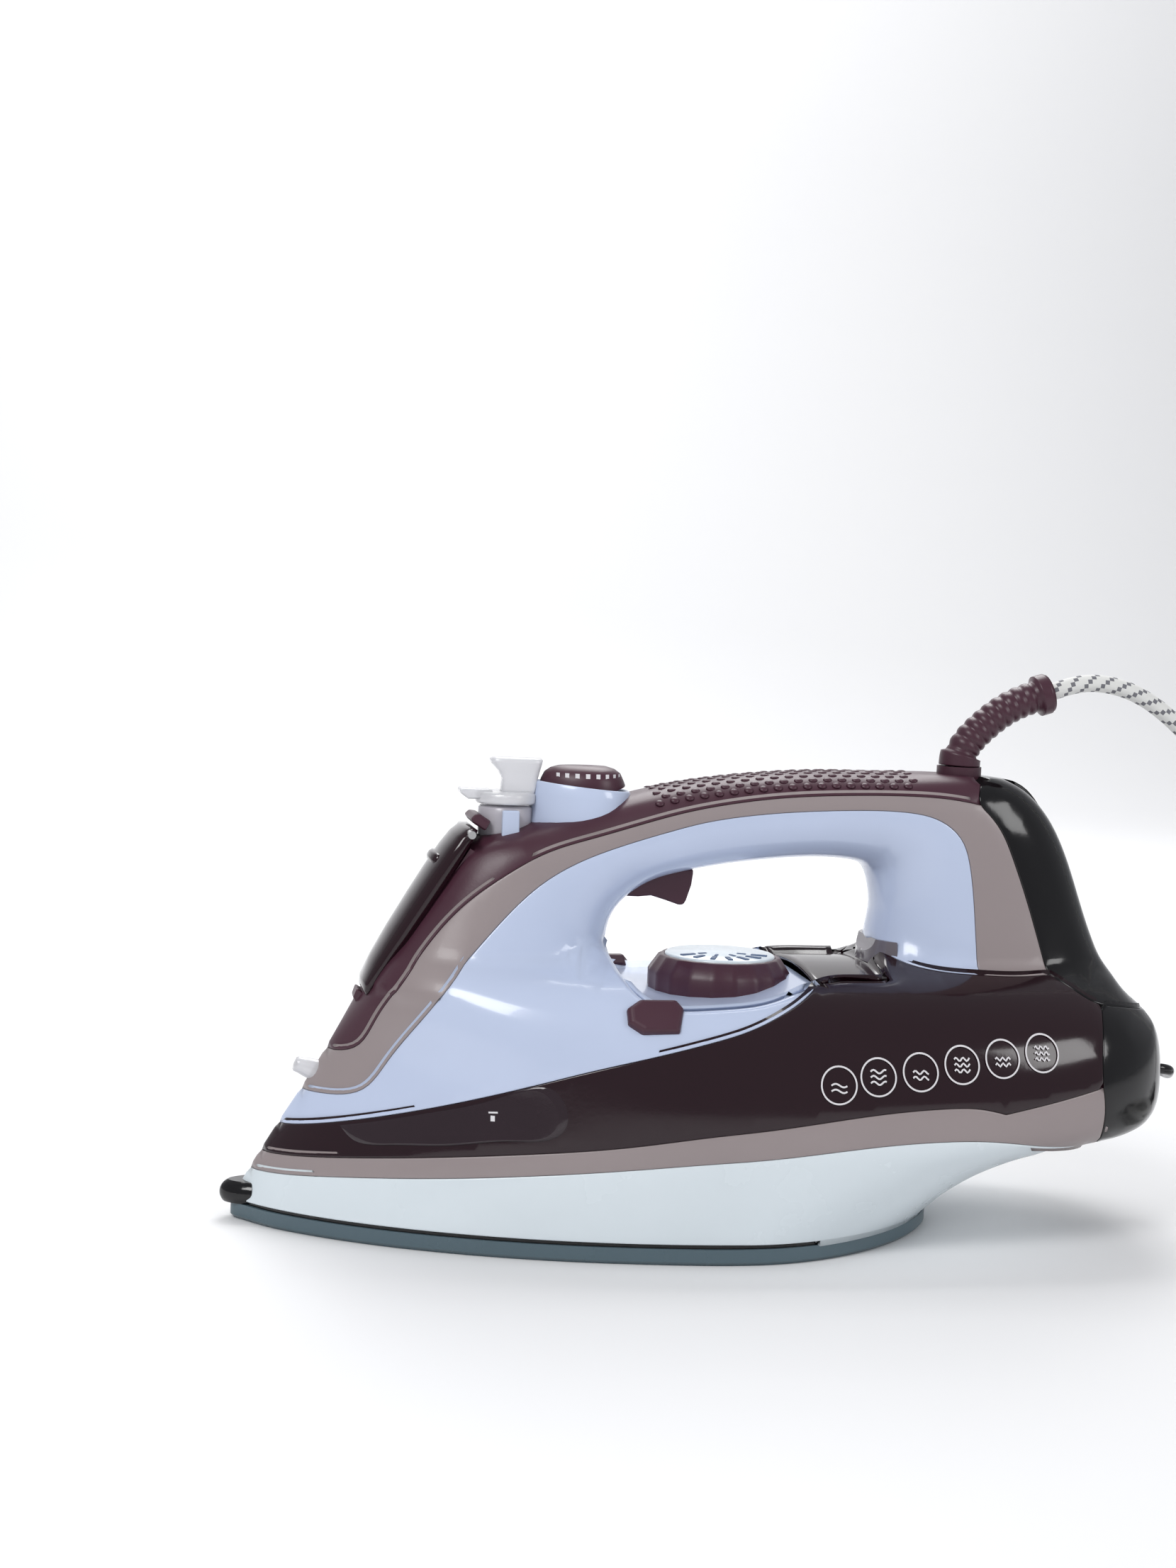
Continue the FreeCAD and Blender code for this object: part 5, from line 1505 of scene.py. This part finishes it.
@dataclass
class SideButtons:
    """The two six-sided side buttons, mirror images that are pressed inwards."""

    at: Point3 = (-25.0, -45.6, 70.9)
    press: Point3 = (0.0, 0.75, -0.6614)
    length: float = 17.0
    width: float = 11.0
    rise: float = 1.9
    depth: float = 3.2

    def build(self) -> None:
        """Builds both buttons."""
        out = -Vector(self.press).normalized()
        side = Vector((0.0, -self.press[2], self.press[1])).normalized()
        half, wide = self.length / 2, self.width / 2
        corners = [
            (-half, -wide + 3), (-half, wide - 3), (-half + 4, wide), (half - 2, wide), (half, wide - 3),
            (half - 2, -wide), (-half + 4, -wide),
        ]
        sections = (
            (-self.depth, 1.0), (self.rise - 1.2, 1.0), (self.rise - 0.2, 0.9), (self.rise, 0.78),
        )
        for label, mirror in (("near", 1.0), ("far", -1.0)):
            rings = []
            for lift, share in sections:
                ring = []
                for x, y in corners:
                    p = Vector(self.at) + Vector((x * share, 0, 0)) + side * (y * share) + out * lift
                    ring.append((p.x, p.y * mirror, p.z))
                rings.append(ring)
            made = loft(f"{label}_side_cap", rings, PLUM, f"{label}_side_button", False)
            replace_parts(crisp(made, 0.5, 3, 20), f"{label}_side_button")


@dataclass
class CordGuard:
    """The ribbed, swivelling cord guard."""

    route: tuple = (
        (79.0, 0.0, 144.3), (79.3, 0.0, 147.4), (81.4, 0.0, 151.6), (86.0, 0.0, 156.6),
        (92.0, 0.0, 161.5), (99.0, 0.0, 165.3), (107.5, 0.0, 168.2),
    )
    radius: float = 5.2
    rib: float = 0.55
    pitch: float = 3.2
    collar: float = 6.5
    flare: float = 6.5

    def build(self) -> None:
        """Builds the guard as one ribbed sleeve."""
        path = resampled(spline(list(self.route), 200), 0.4)
        run = np.concatenate([[0], np.cumsum(np.linalg.norm(np.diff(path, axis=0), axis=1))])
        radii = []
        for s in run:
            wave = self.rib * (0.5 + 0.5 * math.cos(2 * math.pi * s / self.pitch)) ** 0.5
            radius = self.radius - self.rib + wave
            if s < 3.4:
                radius = self.collar
            if s > run[-1] - 4.2:
                radius = self.flare - (0.5 if s > run[-1] - 0.5 else 0.0)
            radii.append(radius)
        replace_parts(loft("guard_sleeve", tube_rings(path, radii, 32), PLUM, "guard"), "cord_guard")


@dataclass
class Prints:
    """Marks on the near side: six generic function rings, a fill mark and the tank's clear window."""

    rings: tuple = ((28, 53.4), (40, 55.7), (53, 57.1), (66, 59.1), (79, 60.7), (92, 62.1))
    radius: float = 5.3
    line: float = 0.5
    window: tuple = (
        (-114, 32.6), (-105, 35.0), (-88, 40.0), (-70, 46.0), (-56, 50.2), (-52, 47.0), (-50.5, 40.5),
        (-53, 36.6), (-66, 34.2), (-84, 31.2), (-100, 29.4), (-110, 29.2),
    )

    def ribbon(self, points: list, faces: list, line: list, width: float, closed: bool = False) -> None:
        """Adds a flat ribbon on the near side.

        Args:
            points: the corner points so far, added to.
            faces: the faces so far, added to.
            line: the ribbon's middle as (x, z) points.
            width: its width.
            closed: whether it joins its own end.
        """
        given = np.array(line, float)
        if closed:
            heading = np.roll(given, -1, axis=0) - np.roll(given, 1, axis=0)
        else:
            heading = np.gradient(given, axis=0)
        heading /= np.linalg.norm(heading, axis=1)[:, None] + 1e-12
        across = np.stack([-heading[:, 1], heading[:, 0]], axis=1) * width / 2
        start, count = len(points), len(given)
        for side in (-1, 1):
            points += [on_side(*(p + side * w)) for p, w in zip(given, across)]
        for i in range(count if closed else count - 1):
            j = (i + 1) % count
            faces.append((start + i, start + j, start + count + j, start + count + i))

    def build(self) -> None:
        """Builds the rings with their pictograms, the fill mark and the window."""
        points, faces = [], []
        for index, (x, z) in enumerate(self.rings):
            turns = [2 * math.pi * k / 40 for k in range(40)]
            circle = [(x + self.radius * math.cos(t), z + self.radius * math.sin(t)) for t in turns]
            self.ribbon(points, faces, circle, self.line, True)
            bend = 0.6 + 0.25 * index
            for row in range(2 + index % 2):
                level = z - 1.6 + row * 1.6
                wave = [(x - 2.4 + 0.48 * k, level + 0.5 * math.sin(k * bend)) for k in range(11)]
                self.ribbon(points, faces, wave, 0.5)
        self.ribbon(points, faces, [(-72.6, 41.8), (-71.3, 41.9), (-70.0, 42.0)], 0.5)
        self.ribbon(points, faces, [(-71.4, 39.4), (-71.4, 40.2), (-71.4, 41.0)], 1.2)
        mesh_piece("side_prints", points, faces, PRINT, "iron", False)
        outline = np.array(self.window, float)
        smooth = spline([*outline, outline[0]], 90)[:-1]
        middle = smooth.mean(axis=0)
        points = []
        shares = (1.0, 0.985, 0.9, 0.75, 0.55, 0.35, 0.15)
        for level, share in enumerate(shares):
            points += [on_side(*(middle + (p - middle) * share), 0.02 if level == 0 else 0.3) for p in smooth]
        points.append(on_side(*middle, 0.3))
        count = len(smooth)
        faces = grid_faces(len(shares), count)
        inmost, hub = (len(shares) - 1) * count, len(points) - 1
        faces += [(inmost + i, inmost + (i + 1) % count, hub) for i in range(count)]
        mesh_piece("tank_window", points, faces, WINDOW, "iron")


@dataclass
class GripBumps:
    """Rows of low grip bumps along the top of the handle."""

    first: float = -20.0
    last: float = 60.0
    pitch: float = 4.6
    rows: tuple = (-13.6, -11.2, -8.4, -5.2, -1.8, 1.8, 5.2, 8.4, 11.2, 13.6)
    long: float = 1.5
    wide: float = 1.0
    proud: float = 0.55

    def level(self, x: float, y: float) -> float:
        """Height of the handle's top.

        Args:
            x: the place along the iron.
            y: the place across it.

        Returns:
            The height.
        """
        line = HULL.front_line if x < HULL.front_line[-1, 0] else HULL.back_line[::-1]
        high = float(np.interp(x, line[:, 0], line[:, 1]))
        low, top = high - 12.0, high
        for _ in range(14):
            middle = (low + top) / 2
            if float(HULL.arch_depth(np.array([x]), np.array([middle]))[0]) > abs(y):
                low = middle
            else:
                top = middle
        return low

    def build(self) -> None:
        """Builds the bumps."""
        points, faces = [], []
        count = int((self.last - self.first) / self.pitch) + 1
        for index, row in enumerate(self.rows):
            for step in range(count):
                x = self.first + self.pitch * (step + 0.5 * (index % 2))
                high = self.level(x, row)
                tilt = (self.level(x, row + 0.5) - self.level(x, row - 0.5)) if abs(row) > 0.5 else 0.0
                start, rings, sides = len(points), 4, 10
                for ring in range(rings):
                    turn = math.pi / 2 * ring / (rings - 1)
                    spread, lift = math.cos(turn) + 0.03, self.proud * math.sin(turn) - 0.12
                    for side in range(sides):
                        a = 2 * math.pi * side / sides
                        out = self.wide * spread * math.sin(a)
                        ahead = x + self.long * spread * math.cos(a)
                        points.append((ahead, row + out - tilt * lift, high + tilt * out + lift))
                faces += grid_faces(rings, sides, True, start)
                faces.append(tuple(start + (rings - 1) * sides + k for k in range(sides)))
                faces.append(tuple(start + sides - 1 - k for k in range(sides)))
        mesh_piece("grip_bumps", points, faces, PLUM, "iron")


@dataclass
class SprayNozzle:
    """The spray nozzle under the nose of the grip."""

    foot: Point3 = (-118.4, 0, 44.4)
    ahead: Point3 = (-0.95, 0, 0.31)
    sections: tuple = (
        (0.0, 3.2), (3.0, 3.3), (5.6, 2.9), (7.2, 2.5), (8.6, 2.4), (9.2, 1.9), (9.2, 0.9), (8.0, 0.7),
    )

    def build(self) -> None:
        """Builds the nozzle as rings along its axis, with a hollow tip."""
        up = Vector((self.ahead[2], 0, -self.ahead[0]))
        turns = [2 * math.pi * k / 28 for k in range(28)]
        rings = []
        for out, radius in self.sections:
            middle = Vector(self.foot) + Vector(self.ahead) * out
            ring = []
            for turn in turns:
                across = Vector((0, radius * math.sin(turn), 0))
                ring.append(tuple(middle + up * radius * math.cos(turn) + across))
            rings.append(ring)
        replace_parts(loft("nozzle_tip", rings, FROST, "iron"), "spray_nozzle")


# ---------------------------------------------------------------- lead
@dataclass
class Lead:
    """The braided mains lead: a visible run, the put-away coil and its tail to the plug."""

    radius: float = 2.75
    end: Point3 = (107.5, 0.0, 168.2)
    coil_radius: float = 29.0
    steps_per_turn: int = 12
    coil_reach: float = 143.0
    coil_inset: float = 4.5
    coil_side: float = -24.0

    @property
    def coil_middle(self) -> Point2:
        """Returns the coil's middle on the floor."""
        return self.end[0] + self.coil_reach - self.coil_radius - self.coil_inset, self.coil_side

    def run(self) -> list[Point3]:
        """Returns the visible run's own points in millimetres, from the guard to the coil."""
        x, _, z = self.end
        return [
            (x - 5.41, 0, z - 2.585), (x + 5.9, 0, z + 2.8), (x + 18.8, 0, z + 4.1), (x + 33.5, 0, z - 0.4),
            (x + 51, 1, z - 13.7), (x + 69, 3, z - 35.2), (x + 81, 6, z - 56.7), (x + 90, 9.5, z - 80.7),
            (x + 100, 13.5, z - 104.7), (x + 113, 15.5, z - 127.7), (x + 129, 11, z - 147.7),
            (x + 141, -4, z - 159.7), (x + self.coil_reach, -23, 3.05),
        ]

    def coil(self) -> list[Point3]:
        """Returns the coil's points: turns laid side by side, each in its own place in the bundle."""
        sites = [
            (4.5, 3.0), (-1.2, 3.0), (-6.6, 3.0), (-3.6, 7.9), (2.0, 7.9), (-6.4, 12.8), (-0.8, 12.8),
            (4.8, 12.8),
        ]
        centre = self.coil_middle
        points, total = [], int(7.5 * self.steps_per_turn)
        for step in range(1, total + 1):
            spot = step * len(sites) / (total + 1)
            low = min(int(spot), len(sites) - 1)
            high = min(low + 1, len(sites) - 1)
            share = min(max((spot - low - 0.86) / 0.14, 0.0), 1.0)
            out = sites[low][0] * (1 - share) + sites[high][0] * share
            lift = sites[low][1] * (1 - share) + sites[high][1] * share
            angle = -2 * math.pi * step / self.steps_per_turn
            reach = self.coil_radius + out
            points.append((centre[0] + reach * math.cos(angle), centre[1] + reach * math.sin(angle), lift))
        return points

    def tail(self) -> list[Point3]:
        """Returns the tail's own points, from the coil to the plug."""
        x, y = self.coil_middle
        west, plug_x, plug_y = x - self.coil_radius, x + 10.0, y + self.coil_radius + 8.0 + 17.0
        return [
            (west - 2.2, y + 18, 8.0), (west + 3, y + 34, 7.5), (west + 14, y + 46, 8.8),
            (west + 28, y + 52.5, 11.0), (plug_x + 1, plug_y, 13.0),
        ]

    def centreline(self) -> np.ndarray:
        """Returns points along one smooth spline through the whole lead, in metres."""
        given = self.run() + self.coil() + self.tail()
        data = bpy.data.curves.new("lead_line", "CURVE")
        data.dimensions = "3D"
        strand = data.splines.new("NURBS")
        strand.points.add(len(given) - 1)
        for point, place in zip(strand.points, given):
            point.co = (*[c * MM for c in place], 1.0)
        strand.order_u = 3
        strand.use_endpoint_u = True
        strand.resolution_u = 8
        holder = bpy.data.objects.new("lead_line", data)
        line = bpy.data.meshes.new_from_object(holder)
        path = np.array([tuple(v.co) for v in line.vertices])
        bpy.data.objects.remove(holder)
        return path

    def build(self) -> None:
        """Builds the lead, its tie and the plug."""
        path = self.centreline()
        sides = 16
        rings = tube_rings(path / MM, [self.radius] * len(path), sides)
        made = loft("mains_lead", rings, BRAID, "")
        run = np.concatenate([[0], np.cumsum(np.linalg.norm(np.diff(path, axis=0), axis=1))])
        layer = made.data.uv_layers.new(name="weave")
        for face in made.data.polygons:
            low = min(face.vertices) // sides
            for loop, corner in zip(face.loop_indices, face.vertices):
                column = corner % sides
                if column == 0 and any(c % sides == sides - 1 for c in face.vertices):
                    column = sides
                layer.data[loop].uv = (run[min(corner // sides, len(run) - 1)] / 0.01, column / sides)
        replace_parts(made, "cord_lead", "cord_coil", "cord_tail")
        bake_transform(made)
        x, y = self.coil_middle
        strap_y, strap_z = y - self.coil_radius + 0.8, 8.1
        outline = soft_box(10.6, 7.9, 32, 0.6)
        strap = [[(x + across, strap_y + dy, strap_z + dz) for dy, dz in outline] for across in (-4.0, 4.0)]
        tie = crisp(loft("lead_tie", strap, BLACK, "iron", False), 0.5)
        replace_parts(tie, "coil_tie")
        plug = self.plug(x + 10.0, y + self.coil_radius + 25.0)

    def plug(self, x: float, y: float) -> bpy.types.Object:
        """Builds the moulded plug body.

        Args:
            x: where its neck begins.
            y: its centre line.

        Returns:
            The plug's object.
        """
        sections = (
            (0.0, 4.6, 4.6), (1.0, 5.4, 5.2), (9, 6.4, 6.0), (16, 9.4, 8.4), (21, 12.2, 10.8),
            (25, 13.0, 12.4), (34.8, 13.0, 12.6), (36.0, 12.0, 11.6),
        )
        rings = []
        for along, wide, high in sections:
            rings.append([(x + along, y + dy, 13.0 + dz) for dy, dz in soft_box(wide, high, 40, 0.8)])
        made = loft("plug_moulding", rings, BLACK, "iron")
        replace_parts(made, "plug_body")
        return made


def main() -> None:
    """Builds the whole scene."""
    logging.basicConfig(level=logging.INFO, format="%(message)s")
    for node, finish in NODE_FINISHES.items():
        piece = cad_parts[node]
        piece.data.materials.clear()
        piece.data.materials.append(finish.material())
    Casing().build()
    controls = (Dial(), FillerLid(), SteamSelector(), ButtonPod(), Trigger(), SideButtons(), CordGuard())
    for group in (*controls, Prints(), GripBumps(), SprayNozzle(), Lead()):
        group.build()
    Studio().build()


if __name__ == "__main__":
    main()
